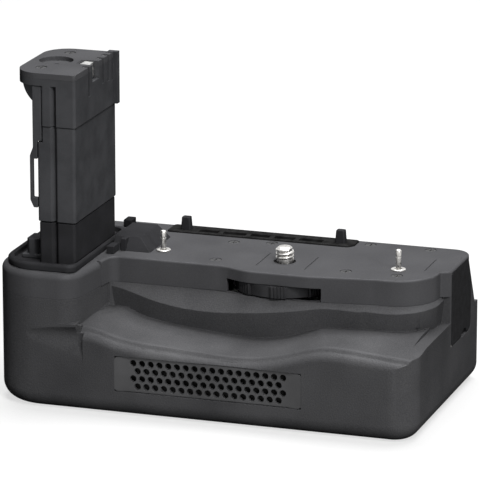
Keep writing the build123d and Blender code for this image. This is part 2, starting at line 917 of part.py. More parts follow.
def duct_gasket():
    body = gasket_block(gasket_groove, 0)
    for x_low, x_high in gasket_slots():
        body -= block(x_low, x_high, gasket_front + gasket_lip, gasket_rear - gasket_lip * 2,
                      deck_height - overrun, deck_height + overrun)
    for x in (-post_left_x, post_right_x):
        body -= post_hole(x)
    return body


def post_hole(x):
    half_x = post_width / 2 + play
    half_y = post_depth / 2 + play
    return block(x - half_x, x + half_x, post_y - half_y, post_y + half_y,
                 deck_height - gasket_groove - overrun, deck_height + overrun)


def guide_post(x):
    low = deck_height - gasket_groove
    half_x, half_y = post_width / 2, post_depth / 2
    corners = ((x - half_x, post_y - half_y), (x + half_x, post_y - half_y),
               (x + half_x, post_y + half_y), (x - half_x, post_y + half_y))
    foot = rounded_block(x - half_x, x + half_x, post_y - half_y, post_y + half_y, low,
                         deck_height + gasket_stand, small_round / 2)
    share = post_tip_share
    top_corners = [(x + (a - x) * share, post_y + (b - post_y) * share, small_round / 2)
                   for a, b in corners]
    low_corners = [(a, b, small_round / 2) for a, b in corners]
    tip = loft([Pos(0, 0, deck_height + gasket_stand) * outline_face(low_corners),
                Pos(0, 0, deck_height + post_stand) * outline_face(top_corners)], ruled=True)
    return foot + tip


def locating_pin(place):
    x, y = place
    top = deck_height + pin_stand
    start = deck_height + pin_collar_height + pin_shank_gap
    body = rod(x, y, chassis_top, start, pin_shank_radius) + rod(x, y, start, top - pin_tip,
                                                                 pin_radius)
    body += cone(x, y, top - pin_tip, top, pin_radius, pin_radius - pin_tip)
    neck = rod(x, y, top - pin_neck_drop - pin_neck_length, top - pin_neck_drop,
               pin_radius + overrun)
    return body - (neck - rod(x, y, chassis_top, top, pin_radius - pin_neck_cut))


def pin_collars():
    rings = []
    for x, y in (left_pin_place(), right_pin_place()):
        ring = rod(x, y, deck_height, deck_height + pin_collar_height, pin_collar_radius)
        rings.append(ring - rod(x, y, deck_height - overrun, deck_height + overrun,
                                pin_radius + play))
    return Compound(children=[solid_of(r) for r in rings])


def solid_of(shape):
    return shape.solids()[0]


def group(shapes):
    return Compound(children=[solid for shape in shapes for solid in shape.solids()])


def deck_screws():
    screws = []
    for x, y in deck_screw_places():
        top = deck_height - deck_screw_head / 4
        low = deck_height - deck_screw_head
        head = rod(x, y, low, top, deck_screw_radius)
        half = deck_screw_slot / 2
        arm = deck_screw_shank + deck_screw_slot
        head -= block(x - arm, x + arm, y - half, y + half, top - deck_screw_head / 2,
                      top + overrun)
        head -= block(x - half, x + half, y - arm, y + arm, top - deck_screw_head / 2,
                      top + overrun)
        screws.append(head + rod(x, y, low - deck_screw_length, low, deck_screw_shank))
    return group(screws)


def chassis():
    plate = block(-chassis_left, chassis_right, -chassis_front, chassis_rear, chassis_bottom,
                  chassis_top)
    plate += block(-chassis_left, -chassis_wing_left, -chassis_front, chassis_wing_rear,
                   chassis_bottom, chassis_top)
    plate += block(chassis_wing_right, chassis_right, -chassis_front, chassis_wing_rear,
                   chassis_bottom, chassis_top)
    plate = plate & prism(deck_face(wall + running_gap), chassis_bottom, chassis_top)
    cup = rod(0, 0, cup_floor - chassis_cup_floor, chassis_top, chassis_cup_radius)
    plate = plate + cup - rod(0, 0, cup_floor, chassis_top + overrun, dial_spigot_radius + shaft_gap)
    for x, y in deck_screw_places():
        plate += rod(x, y, chassis_top - play, deck_underside - play, chassis_post_radius)
        plate -= rod(x, y, deck_height - deck_screw_head - deck_screw_length - play,
                     deck_height, deck_screw_shank + play)
    return plate


def screw_hex(gap):
    radius = (screw_shaft_flats / 2 + gap) / cos(radians(30))
    return RegularPolygon(radius, 6)


def camera_screw():
    foot = prism(screw_hex(0), screw_foot, deck_underside - screw_shoulder_gap)
    thread_top = deck_height + screw_stand
    body = foot + rod(0, 0, screw_foot, thread_top - screw_point, screw_shank_radius)
    body += rod(0, 0, deck_height + screw_thread_gap, thread_top - screw_point, screw_radius)
    return body + cone(0, 0, thread_top - screw_point, thread_top, screw_radius,
                       screw_radius - screw_point)


def screw_spring():
    ring = rod(0, 0, cup_floor, screw_foot - play, spring_radius)
    return ring - rod(0, 0, cup_floor - overrun, screw_foot + overrun, spring_radius - spring_wall)


def lock_dial():
    wheel = rod(0, 0, dial_bottom, dial_top, dial_radius)
    step = 360 / dial_lobes
    lobe_radius = dial_radius + dial_lobe_rise
    for i in range(dial_lobes):
        angle = -90 + dial_turn_offset + i * step
        for k in range(dial_ribs):
            turn = angle + (k - (dial_ribs - 1) / 2) * dial_rib_pitch / lobe_radius / radians(1)
            reach = lobe_radius - dial_rib_radius
            wheel += rod(reach * cos(radians(turn)), reach * sin(radians(turn)), dial_bottom,
                         dial_top, dial_rib_radius)
        half = dial_ribs * dial_rib_pitch / lobe_radius / radians(1) / 2
        wheel += dial_lobe(angle, half, lobe_radius - dial_rib_radius)
    wheel += rod(0, 0, hub_bottom, dial_bottom + play, dial_hub_radius)
    wheel += rod(0, 0, hub_bottom - dial_spigot_length, hub_bottom, dial_spigot_radius)
    return wheel - prism(screw_hex(play), hub_bottom - overrun * 2, dial_top + overrun)


def dial_lobe(angle, half, radius):
    inner = dial_radius - overrun
    points = [(inner, angle - half), (radius, angle - half), (radius, angle),
              (radius, angle + half), (inner, angle + half)]
    at = [(r * cos(radians(a)), r * sin(radians(a))) for r, a in points]
    edge = ThreePointArc(at[1], at[2], at[3])
    rest = Polyline(at[3], at[4], at[0], at[1])
    return prism(make_face([edge, rest]), dial_bottom, dial_top)


def tripod_socket():
    body = rod(0, 0, 0, socket_depth, socket_body_radius)
    body += rod(0, 0, floor_thick + play, floor_thick + play + socket_flange, socket_radius)
    return body - rod(0, 0, -overrun, socket_depth + overrun, screw_radius)


def base_pad():
    ring = rod(0, 0, 0, pad_depth, pad_outer)
    ring -= rod(0, 0, -overrun, pad_depth + overrun, socket_body_radius + play)
    step = (pad_outer - socket_body_radius) / (pad_treads + 1)
    for i in range(pad_treads):
        r = socket_body_radius + step * (i + 1)
        tread = rod(0, 0, -overrun, pad_tread, r + pad_tread)
        ring -= tread - rod(0, 0, -overrun * 2, pad_tread + overrun, r - pad_tread)
    return ring


def base_plate():
    body = rounded_block(-base_plate_left, base_plate_right, -base_plate_front, base_plate_rear, 0,
                         base_plate_thick, base_plate_round)
    body -= rod(0, 0, -overrun, base_plate_thick + overrun, pad_outer + play)
    for x, y in base_screw_places():
        body -= rod(x, y, -overrun, base_screw_head, base_screw_radius + play)
        body -= rod(x, y, -overrun, base_plate_thick + overrun, base_screw_shank + play)
    return body


def base_screws():
    screws = []
    for x, y in base_screw_places():
        head = rod(x, y, play, base_screw_head, base_screw_radius)
        half = deck_screw_slot / 2
        arm = base_screw_shank + deck_screw_slot
        head -= block(x - arm, x + arm, y - half, y + half, -overrun, base_screw_head / 2)
        head -= block(x - half, x + half, y - arm, y + arm, -overrun, base_screw_head / 2)
        screws.append(head + rod(x, y, base_screw_head, base_screw_length, base_screw_shank))
    return group(screws)


def thumb_pad():
    return thumb_pad_block(0)


def front_grille():
    face = -front_reach + grille_recess
    body = rounded_panel_y(-grille_left + play, grille_right - play, grille_bottom + play,
                           grille_top - play, face, face + grille_thick, grille_frame_round)
    middle_x = (grille_right - grille_left) / 2
    middle_z = (grille_top + grille_bottom) / 2
    holes = []
    for row in range(grille_rows):
        z = middle_z + ((grille_rows - 1) / 2 - row) * grille_row_pitch
        count = grille_columns - row % 2
        for i in range(count):
            x = middle_x + (i - (count - 1) / 2) * grille_pitch
            holes.append(rod_along_y(x, z, face - overrun, face + grille_thick + overrun,
                                     grille_hole / 2))
    return body - holes


def dust_filter():
    front = -front_reach + grille_recess + grille_thick + filter_gap
    return block(-grille_left + wall, grille_right - wall, front, front + filter_thick,
                 grille_bottom + play, grille_top - play)


def blower_housing():
    low = floor_thick + play
    front = -front_reach + grille_recess + grille_thick + filter_gap * 2 + filter_thick
    body = block(-blower_left, -blower_right, -blower_front, blower_rear, low, blower_top)
    body += block(-nozzle_left, nozzle_right, front, -nozzle_rear, low, blower_top)
    body += block(-blower_left, -blower_right, -nozzle_rear - blower_wall, -blower_front, low,
                  blower_top)
    wall_in = blower_wall
    body -= rod(-blower_centre_x, blower_centre_y, low + wall_in, blower_top + overrun,
                volute_radius)
    body -= block(-blower_centre_x - volute_radius, -blower_centre_x + volute_radius,
                  -nozzle_rear - wall_in - overrun, blower_centre_y, low + wall_in,
                  blower_top - wall_in)
    body -= block(-nozzle_left + wall_in, nozzle_right - wall_in, front - overrun,
                  -nozzle_rear - wall_in, low + wall_in, blower_top - wall_in)
    return body


def blower_cover():
    front = -deck_front + wall + running_gap
    body = block(-blower_left, -blower_right, front, blower_rear, blower_top, cover_top)
    return body - rod(-blower_centre_x, blower_centre_y, blower_top - overrun,
                      cover_top + overrun, inlet_radius)


def blower_motor():
    low = floor_thick + play + blower_wall
    body = rod(-blower_centre_x, blower_centre_y, low, low + motor_height, motor_radius)
    return body - rod(-blower_centre_x, blower_centre_y, low - overrun,
                      low + motor_height + overrun, shaft_radius)


def impeller_low():
    return floor_thick + play + blower_wall + motor_height + running_gap


def impeller_shaft():
    low = floor_thick + play + blower_wall
    return rod(-blower_centre_x, blower_centre_y, low, impeller_low() + impeller_hub_height,
               shaft_radius)


def blower_impeller():
    low = impeller_low()
    high = blower_top - impeller_gap
    x, y = -blower_centre_x, blower_centre_y
    wheel = rod(x, y, low, low + impeller_disc, impeller_radius)
    wheel += rod(x, y, low, low + impeller_hub_height, impeller_hub)
    middle = impeller_radius - impeller_blade_depth / 2
    blades = []
    for i in range(impeller_blades):
        turn = 360 * i / impeller_blades
        blade = Box(impeller_blade_depth, impeller_blade_thick, high - low)
        lean = Rot(0, 0, -impeller_lean)
        blades.append(Pos(x, y, (low + high) / 2) * Rot(0, 0, turn) * Pos(middle, 0, 0) * lean
                      * blade)
    wheel += blades
    rim = rod(x, y, high - impeller_disc, high, impeller_radius)
    wheel += rim - rod(x, y, low, high + overrun, impeller_radius - impeller_disc)
    return wheel - rod(x, y, low - overrun, high + overrun, shaft_radius + shaft_gap)


def air_duct():
    def form(inset):
        body = block(-duct_left + inset, duct_right - inset, -duct_front + inset,
                     riser_rear - inset, duct_bottom + inset, duct_top - inset)
        top = deck_underside - play + (overrun if inset else 0)
        body += block(-riser_left + inset, riser_right - inset, riser_front + inset,
                      riser_rear - inset, riser_foot + inset, top)
        return body
    body = form(0) - form(duct_wall)
    return body - rod(-blower_centre_x, blower_centre_y, duct_bottom - overrun,
                      duct_bottom + duct_wall + overrun, inlet_radius)


def battery_bay():
    body = block(-bay_left, -bay_right, bay_front, bay_rear, bay_floor, bay_top)
    body -= block(bay_inner_left, bay_inner_right, contact_face, bay_rear + overrun,
                  bay_inner_floor, bay_ceiling)
    body -= contact_window(play)
    house = catch_house()
    body += house
    body -= catch_form(running_gap, catch_travel)
    return body


def contact_window(gap):
    x = (bay_inner_left + bay_inner_right) / 2
    z = (bay_inner_floor + bay_ceiling) / 2
    half_x = contact_block_width / 2 + gap
    half_z = contact_block_height / 2 + gap
    rear = contact_face + (overrun if gap else 0)
    front = contact_face - bay_wall - (overrun if gap else 0)
    return block(x - half_x, x + half_x, front, rear, z - half_z, z + half_z)


def contact_places():
    x = (bay_inner_left + bay_inner_right) / 2
    z = (bay_inner_floor + bay_ceiling) / 2
    return [(x + (i - (contact_count - 1) / 2) * contact_pitch, z) for i in range(contact_count)]


def battery_contact_block():
    body = contact_window(0)
    x = (bay_inner_left + bay_inner_right) / 2
    z = (bay_inner_floor + bay_ceiling) / 2
    flange_x = contact_block_width / 2 + contact_block_depth
    flange_z = contact_block_height / 2 + contact_block_depth
    body += block(x - flange_x, x + flange_x, bay_front - contact_block_depth, bay_front,
                  z - flange_z, z + flange_z)
    for px, pz in contact_places():
        body -= rod_along_y(px, pz, bay_front - contact_block_depth - overrun,
                            contact_face + overrun, contact_radius)
    return body


def battery_contacts():
    return group([rod_along_y(px, pz, bay_front - contact_block_depth, contact_face + contact_stand,
                              contact_radius) for px, pz in contact_places()])


def catch_centre():
    return (bay_rear - catch_from_mouth - catch_width / 2, (bay_inner_floor + bay_ceiling) / 2)


def catch_form(gap, travel):
    """The catch, or with a gap the space that it slides in."""
    y, z = catch_centre()
    return block(bay_inner_right - catch_nose - gap, bay_inner_right + bay_wall + catch_length
                 + travel + gap, y - catch_width / 2 - gap, y + catch_width / 2 + gap,
                 z - catch_height / 2 - gap, z + catch_height / 2 + gap)


def catch_house():
    y, z = catch_centre()
    reach = running_gap + catch_house_wall
    return block(-bay_right - play, -bay_right + catch_length + catch_travel + reach,
                 y - catch_width / 2 - reach, y + catch_width / 2 + reach,
                 z - catch_height / 2 - reach, z + catch_height / 2 + reach)


def battery_catch():
    body = catch_form(0, 0)
    y, z = catch_centre()
    tip = bay_inner_right - catch_nose
    ramp = Pos(tip, y + catch_width / 2, z) * Rot(0, 0, 45) * Box(
        catch_nose, catch_nose, catch_height + overrun)
    return body - ramp


def battery_door():
    outer = lower_form()
    body = outer & block(door_left, door_right, door_inner, rear_reach + overrun, door_low,
                         door_high)
    body += rod(door_left, door_pin_y, door_low, door_high, door_knuckle_radius)
    body -= rod(door_left, door_pin_y, door_low - overrun, door_high + overrun,
                door_pin_radius + door_pin_gap)
    z = (door_low + door_high) / 2
    gap = running_gap
    half = latch_height / 2 + gap
    body -= block(door_right - latch_width - latch_travel - latch_recess_extra, door_right
                  + overrun, rear_reach - latch_thick - gap, rear_reach + overrun, z - half,
                  z + half)
    return body


def door_hinge_pin():
    return rod(door_left, door_pin_y, door_low - door_pin_tail, door_high + door_pin_tail,
               door_pin_radius)


def door_latch():
    z = (door_low + door_high) / 2
    half = latch_height / 2
    face = rear_reach
    plate = block(door_right - latch_width, door_right - play, face - latch_thick, face, z - half,
                  z + half)
    half = latch_tongue_width / 2 - running_gap * 2
    plate += block(door_right - overrun, door_right + latch_tongue, face - latch_thick, face,
                   z - half, z + half)
    step = latch_width / 2 / latch_rib_count
    for i in range(latch_rib_count):
        x = door_right - latch_width + step * (i + 1)
        plate -= block(x, x + step / 2, face - latch_thick / 2, face + overrun,
                       z - latch_height / 2 + step / 2, z + latch_height / 2 - step / 2)
    return plate


def port_frame():
    """Back plate inside the wall, with a thin face that fills the recess behind the cover."""
    lap = port_frame_lap
    seat = port_seat()
    inner = frame_front - port_frame_thick
    body = block(inner, seat, port_cover_front + lap, port_cover_rear - lap, port_bottom - lap,
                 deck_underside - play)
    body += rounded_panel_x(port_cover_front, port_cover_rear, port_bottom, port_top, seat,
                            frame_front, port_cover_round)
    body -= block(inner - overrun, frame_front + overrun, network_centre_y - network_width / 2
                  - play, network_centre_y + network_width / 2 + play, network_base - play,
                  network_base + network_height + play)
    return body - usb_form(play, inner - overrun, frame_front + overrun)


def port_seat():
    return right_reach - wall - play


def usb_form(gap, x_low, x_high):
    half = usb_width / 2 + gap
    return rounded_panel_x(network_centre_y - half, network_centre_y + half, usb_base - gap,
                           usb_base + usb_height + gap, x_low, x_high, usb_height / 2)


def network_port():
    y, z = network_centre_y, network_base
    half = network_width / 2
    front = frame_front
    body = block(front - network_depth, front, y - half, y + half, z, z + network_height)
    margin = (network_height - network_mouth_height) / 2
    half = network_mouth_width / 2
    body -= block(front - network_depth + margin, front + overrun, y - half, y + half, z + margin,
                  z + margin + network_mouth_height)
    half = network_step_width / 2
    body -= block(front - network_depth + margin, front + overrun, y - half, y + half,
                  z + margin - network_step_height + play, z + margin + overrun)
    return body


def usb_port():
    x = frame_front
    y = network_centre_y
    shell = usb_form(0, x - usb_depth, x)
    half = usb_width / 2 - usb_wall
    hollow = rounded_panel_x(y - half, y + half, usb_base + usb_wall,
                             usb_base + usb_height - usb_wall, x - usb_depth + usb_wall * 2,
                             x + overrun, usb_height / 2 - usb_wall)
    z = usb_base + usb_height / 2
    half = usb_tongue_width / 2
    tongue = block(x - usb_depth + usb_wall, x - usb_wall * 2, y - half, y + half,
                   z - usb_tongue_thick / 2, z + usb_tongue_thick / 2)
    return shell - hollow + tongue


def port_board():
    x = frame_front - port_frame_thick - play
    half = port_board_width / 2
    y = network_centre_y
    return block(x - port_board_length, x, y - half, y + half, chassis_top, usb_base)


def circuit_board():
    right = frame_front - port_frame_thick - play
    return block(board_left, right, -board_front, board_rear, board_base, network_base)


def board_parts():
    """Chips and a connector on the circuit board."""
    parts = []
    x, y, z = board_left + board_post_inset, board_post_inset, network_base
    for dx, dy, w, d, h in board_part_shares:
        parts.append(block(x + dx * board_span(), x + (dx + w) * board_span(),
                           y + dy * board_span(), y + (dy + d) * board_span(), z,
                           z + h * board_thick))
    return group(parts)


def board_span():
    return board_rear - board_post_inset * 2


def port_cover():
    shape = port_panel(port_cover_front, port_cover_rear, port_bottom, port_top, port_hinge_round,
                       port_face, right_reach) & right_side_form()
    y = port_cover_rear - port_notch_radius * 2
    notch = Pos(right_reach, y, port_bottom - port_notch_radius / 2) * Rot(0, 90, 0) * Cylinder(
        port_notch_radius, port_notch_depth * 2)
    body = shape - notch
    body -= rod(port_axis_x, port_axis_y, port_bottom - overrun, port_top + overrun,
                port_hinge_radius + shaft_gap)
    return body


def right_side_form():
    """The body's outside round the port cover."""
    low = block(0, right_reach, 0, rear_reach, 0, thumb_top - small_round)
    return low + prism(deck_face(), 0, deck_height) + rear_slope()


def port_hinge_pin():
    return rod(port_axis_x, port_axis_y, port_bottom - port_hinge_tail + play,
               port_top + port_hinge_tail / 2 - play, port_hinge_radius)


def collar_outline(inset, corner):
    return outline_face(((-collar_left + inset, -collar_front + inset, corner),
                         (-collar_right - inset / 2, -collar_front + inset, collar_inner_round),
                         (-collar_right - inset / 2, collar_rear - inset, collar_inner_round),
                         (-collar_left + inset, collar_rear - inset, collar_inner_round)))


def tower_collar():
    top = deck_height + collar_height
    body = prism(collar_outline(0, collar_round), deck_height, top)
    body = chamfer(body.edges().group_by(Axis.Z)[-1], deck_edge_round)
    body -= prism(collar_outline(collar_rim, collar_round - collar_rim), collar_floor_z,
                  top + overrun)
    return body - cable_block(deck_height - overrun, top, play)


def tower_face(left, inset):
    """Plan of the tower with the flute down its narrow front."""
    front = -tower_front + inset
    left_x, right_x = -left + inset, -tower_right - inset
    flute = -tower_left + flute_from_left
    corners = ((left_x, front, tower_round), (flute, front, 0), (flute + flute_width / 2, front
               + flute_depth, 0), (flute + flute_width, front, 0), (right_x, front, tower_round),
               (right_x, tower_rear - inset, tower_round), (left_x, tower_rear - inset,
                                                            tower_round))
    return outline_face(corners)


def tower_hollow(z_low, z_high):
    inset = sleeve_wall + flute_depth
    return block(-tower_left + inset, -tower_right - inset, -tower_front + inset + flute_depth,
                 tower_rear - inset, z_low, z_high)


def tower_foot():
    top = deck_height + foot_top - tower_seam
    body = prism(tower_face(tower_left, foot_inset), collar_floor_z, top)
    return body - tower_hollow(collar_floor_z - overrun, top + overrun)


def tower_sleeve():
    low = deck_height + foot_top
    high = deck_height + head_bottom - play
    body = prism(tower_face(tower_left, tower_skin), low, high)
    body -= tower_hollow(low - overrun, high + overrun)
    return body - clip_column(clip_seat_gap, high + overrun)


def clip_column(gap, top):
    """The flat column under the head, or with a gap the seat for it in the sleeve."""
    return block(-tower_left + tower_skin - clip_root_reach - gap, -head_skirt_left + gap,
                 -clip_front - gap, -clip_rear + gap, deck_height + clip_lap - gap, top)


def tower_clip():
    """The column under the head and the thin loop that stands out beside the sleeve."""
    left = -tower_left + tower_skin
    root = left - clip_root_reach
    out = left - clip_stand
    base = deck_height
    corners = ((left, base + clip_root), (left, base + clip_lap), (root, base + clip_lap),
               (root, base + clip_top), (out, base + clip_shoulder), (out, base + clip_bottom),
               (out + clip_thick, base + clip_root), (left, base + clip_root))
    loop = extrude(Plane.XZ * make_face(Polyline(*corners)), amount=clip_depth)
    loop = Pos(0, -clip_front + clip_depth, 0) * loop
    loop -= block(out + clip_thick, left + overrun, -clip_front - overrun, -clip_rear,
                  base + clip_bottom + clip_slot_end, base + clip_shoulder - clip_slot_end)
    return loop + clip_column(0, head_flange_low - play)


def tower_head():
    skirt_low = deck_height + head_bottom
    corners = ((-head_left, -tower_front, head_round), (-tower_right, -tower_front, small_round),
               (-tower_right, head_rear, small_round), (-head_left, head_rear, head_round))
    flange = prism(outline_face(corners), head_flange_low, head_high - cap_thick)
    skirt = prism(tower_face(head_skirt_left, 0), skirt_low, head_flange_low + play)
    skirt -= clip_column(clip_seat_gap, head_flange_low + overrun)
    rear = tower_rear - head_lip_gap
    lip = block(-tower_right - overrun, -tower_right + head_lip, rear - head_lip_width, rear,
                skirt_low, head_high)
    lip += block(-tower_right - head_lip * 2, -tower_right, head_rear - play, rear, skirt_low,
                 head_high)
    body = flange + skirt + lip + head_bracket()
    cavity_top = head_flange_low - head_wall
    body -= block(-head_skirt_left + head_wall + flute_depth, -tower_right - contact_slot_depth
                  - head_wall, -tower_front + head_wall + flute_depth * 2, tower_rear - head_wall,
                  skirt_low - overrun, cavity_top)
    body -= contact_slots()
    for x, y in head_screw_places():
        body -= rod(x, y, head_high - head_screw_sink - head_screw_length - play, head_high,
                    base_screw_shank + play)
    return body


def head_bracket():
    """Curved rib under the overhang of the head."""
    inner = -tower_left - clip_root_reach
    low = head_flange_low - bracket_drop
    start, end = (inner, low), (-head_left + small_round, head_flange_low + play)
    along, down = bracket_curve_shares
    middle = (start[0] + (end[0] - start[0]) * along, end[1] + (start[1] - end[1]) * down)
    curve = ThreePointArc(start, middle, end)
    edge = Polyline(end, (inner, head_flange_low + play), start)
    rib = extrude(Plane.XZ * make_face([curve, edge]), amount=bracket_front + bracket_rear)
    return Pos(0, bracket_rear, 0) * rib & block(-head_left, inner, -clip_rear + play,
                                                 bracket_rear, low, head_high)


def slot_places():
    """Low y, high y and low z of each contact slot."""
    places = []
    for y, w, drop in zip(contact_slot_y_shares, contact_slot_width_shares,
                          contact_slot_low_shares):
        centre = y * tower_front
        half = w * tower_front / 2
        places.append((centre - half, centre + half,
                       head_high - drop * (head_top - head_bottom)))
    return places


def contact_slots():
    return [block(-tower_right - contact_slot_depth, -tower_right + overrun, y_low, y_high, z_low,
                  head_high + overrun) for y_low, y_high, z_low in slot_places()]


def head_contacts():
    """Sprung metal blades at the bottom of the contact slots."""
    blades = []
    for y_low, y_high, z_low in slot_places():
        inset = play * 2
        blades.append(block(-tower_right - contact_slot_depth, -tower_right - contact_slot_depth
                            + blade_thick, y_low + inset, y_high - inset, z_low + inset,
                            head_high - play * 2))
    widest = max(range(len(blades)), key=lambda i: slot_places()[i][1] - slot_places()[i][0])
    blades[widest] = blades[widest] + contact_tab(0)
    return group(blades)


def contact_tab(gap):
    """The end of the widest contact, bent over on the top, or with a gap its seat."""
    y_low, y_high, z_low = max(slot_places(), key=lambda place: place[1] - place[0])
    inset = play * 2
    x = -tower_right - contact_slot_depth
    high = head_high - inset
    return block(x - contact_tab_reach - gap, x + blade_thick + gap, y_low + inset - gap,
                 y_high - inset + gap, high - contact_tab_thick - gap,
                 high + (overrun if gap else 0))


def head_cap():
    corners = ((-head_left, -tower_front, head_round), (-tower_right, -tower_front, small_round),
               (-tower_right, head_rear, small_round), (-head_left, head_rear, head_round))
    low = head_high - cap_thick
    body = prism(outline_face(corners), low, head_high)
    body -= block(-tower_right - head_lip * 2 - play, -tower_right + overrun, head_rear - play * 2,
                  tower_rear, low - overrun, head_high + overrun)
    body -= rod(-button_x, -button_y, head_high - button_recess_depth, head_high + overrun,
                button_recess_radius)
    body -= rod(-button_x, -button_y, head_high - button_recess_depth - button_hole_depth,
                head_high, button_hole_radius)
    body -= block(-cap_mark_x - mark_width, -cap_mark_x + mark_width, -cap_mark_front,
                  -cap_mark_front + cap_mark_length, head_high - mark_depth, head_high + overrun)
    body -= contact_slots()
    body -= contact_tab(play)
    for x, y in head_screw_places():
        body -= rod(x, y, head_high - head_screw_sink, head_high + overrun,
                    head_screw_radius + play)
        body -= rod(x, y, low - overrun, head_high, base_screw_shank + play)
    return body


def head_screws():
    screws = []
    for x, y in head_screw_places():
        top = head_high - head_screw_sink / 4
        low = head_high - head_screw_sink
        head = rod(x, y, low, top, head_screw_radius)
        half = deck_screw_slot / 2
        arm = base_screw_shank + deck_screw_slot
        head -= block(x - arm, x + arm, y - half, y + half, top - head_screw_sink / 2,
                      top + overrun)
        head -= block(x - half, x + half, y - arm, y + arm, top - head_screw_sink / 2,
                      top + overrun)
        screws.append(head + rod(x, y, low - head_screw_length, low, base_screw_shank))
    return group(screws)


def tower_lug():
    low = collar_floor_z
    body = block(-lug_left, -lug_right, -lug_front, -lug_rear, low, deck_height + lug_height)
    upright = body.edges().filter_by(Axis.Z).group_by(Axis.Y)[0]
    body = chamfer(upright, lug_chamfer)
    reach = lug_plate_reach
    plate = block(-lug_left - lug_chamfer, -tower_left + foot_inset - play, -lug_front, -lug_rear
                  + reach, low, low + lug_plate)
    return body + plate


def cable_block(z_low, z_high, gap):
    half = cable_thick / 2 + gap
    return block(-cable_x - half, -cable_x + half, -cable_front - gap, -cable_front + cable_width
                 + gap, z_low, z_high)


def tower_cable():
    low = bay_top + play + cable_socket_height / 2
    high = head_flange_low - head_wall - play
    return cable_block(low, high, 0)


def cable_socket():
    half = cable_socket_length / 2
    top = bay_top + cable_socket_height
    body = block(-cable_x - half, -cable_x + half, -cable_front - play * 2 - bay_wall,
                 -cable_front + cable_width + play * 2 + bay_wall, bay_top + play, top)
    return body - cable_block(bay_top + play + cable_socket_height / 2 - play, top + overrun, play)


def door_keeper():
    low = deck_height
    base = outline_face(((-keeper_left, -keeper_front, 0), (-keeper_right, -keeper_front, 0),
                         (-keeper_right, keeper_rear, 0), (-keeper_left, keeper_rear, 0)))
    top = outline_face(((-keeper_left, -keeper_top_front, 0), (-keeper_top_right,
                                                               -keeper_top_front, 0),
                        (-keeper_top_right, keeper_rear, 0), (-keeper_left, keeper_rear, 0)))
    body = loft([Pos(0, 0, low) * base, Pos(0, 0, low + keeper_height) * top], ruled=True)
    half = keeper_rib_width / 2
    body += block(-keeper_rib_x - half, -keeper_rib_x + half, -keeper_front, -keeper_top_front
                  + half, low, low + keeper_height)
    front = -keeper_front - keeper_step * 2
    body += block(-keeper_left, -keeper_left + keeper_step, front, -keeper_front + play, low,
                  low + keeper_step_height)
    return body


def keeper_stop():
    return block(-keeper_back_left, -keeper_back_right, keeper_back_y, keeper_back_y
                 + keeper_back_depth, deck_height, deck_height + keeper_back_height)


def export(node, shape):
    solids = shape.solids()
    result = solids[0] if len(solids) == 1 else Compound(children=solids)
    result.label = node
    export_step(result, "parts/" + node + ".step")
    print(node, len(solids), round(sum(s.volume for s in solids), 1))


BUILDERS = (lower_case, upper_case, duct_gasket, pin_collars, deck_screws, chassis, camera_screw,
            screw_spring, lock_dial, tripod_socket, base_pad, base_plate, base_screws, thumb_pad,
            front_grille, dust_filter, blower_housing, blower_cover, blower_motor, impeller_shaft,
            blower_impeller, air_duct, battery_bay, battery_contact_block, battery_contacts,
            battery_catch, battery_door, door_hinge_pin, door_latch, port_frame, network_port,
            usb_port, port_board, circuit_board, board_parts, port_cover, port_hinge_pin,
            tower_collar, tower_foot, tower_sleeve, tower_clip, tower_head, head_contacts,
            head_cap, head_screws, tower_lug, tower_cable, cable_socket, door_keeper, keeper_stop)


def main():
    os.makedirs("parts", exist_ok=True)
    for builder in BUILDERS:
        export(builder.__name__, builder())
    export("guide_post_left", guide_post(-post_left_x))
    export("guide_post_right", guide_post(post_right_x))
    export("locating_pin_left", locating_pin(left_pin_place()))
    export("locating_pin_right", locating_pin(right_pin_place()))


if __name__ == "__main__":
    main()
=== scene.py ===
import json
import math

import bpy
from mathutils import Matrix, Vector


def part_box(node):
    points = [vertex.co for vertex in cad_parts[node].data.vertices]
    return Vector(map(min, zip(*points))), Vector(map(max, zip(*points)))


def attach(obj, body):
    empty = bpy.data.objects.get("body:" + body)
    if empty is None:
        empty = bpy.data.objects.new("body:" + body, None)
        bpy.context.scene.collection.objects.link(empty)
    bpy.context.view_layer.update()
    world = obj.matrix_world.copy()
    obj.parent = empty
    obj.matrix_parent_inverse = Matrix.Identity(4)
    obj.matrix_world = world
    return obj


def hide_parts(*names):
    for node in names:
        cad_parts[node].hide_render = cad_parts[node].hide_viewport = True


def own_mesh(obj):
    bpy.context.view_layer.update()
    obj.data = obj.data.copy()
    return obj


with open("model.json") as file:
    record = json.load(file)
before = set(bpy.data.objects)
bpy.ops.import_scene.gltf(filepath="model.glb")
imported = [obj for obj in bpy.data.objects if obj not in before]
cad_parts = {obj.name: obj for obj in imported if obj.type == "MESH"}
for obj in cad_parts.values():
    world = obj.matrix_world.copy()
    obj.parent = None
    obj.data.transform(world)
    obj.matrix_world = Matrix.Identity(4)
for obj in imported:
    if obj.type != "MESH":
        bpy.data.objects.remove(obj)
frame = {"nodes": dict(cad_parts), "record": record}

MM = 0.001
FLOOR_SIZE = 6.0

# Where the photograph was taken from
VIEW_TURN = math.radians(18.3)
VIEW_TILT = math.radians(15.5)
CAMERA_PLACE = Vector((412.92, -1296.60, 432.19)) * MM
CAMERA_LENS = 315.0
CAMERA_SENSOR = 36.0

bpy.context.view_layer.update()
record = frame["record"]
nodes = frame["nodes"]
body_of_node = {n: body for body, names in record["behaviour"]["bodies"].items() for n in names}
slot_of_node = {part["node"]: part["material_slot"] for part in record["subparts"]}


# The frame's places, in millimetres

def mm_box(node):
    low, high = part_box(node)
    return low / MM, high / MM


def middle(node):
    """Where a node's box has its middle, seen from above."""
    low, high = mm_box(node)
    return (low.x + high.x) / 2, (low.y + high.y) / 2


# Selecting and shaping

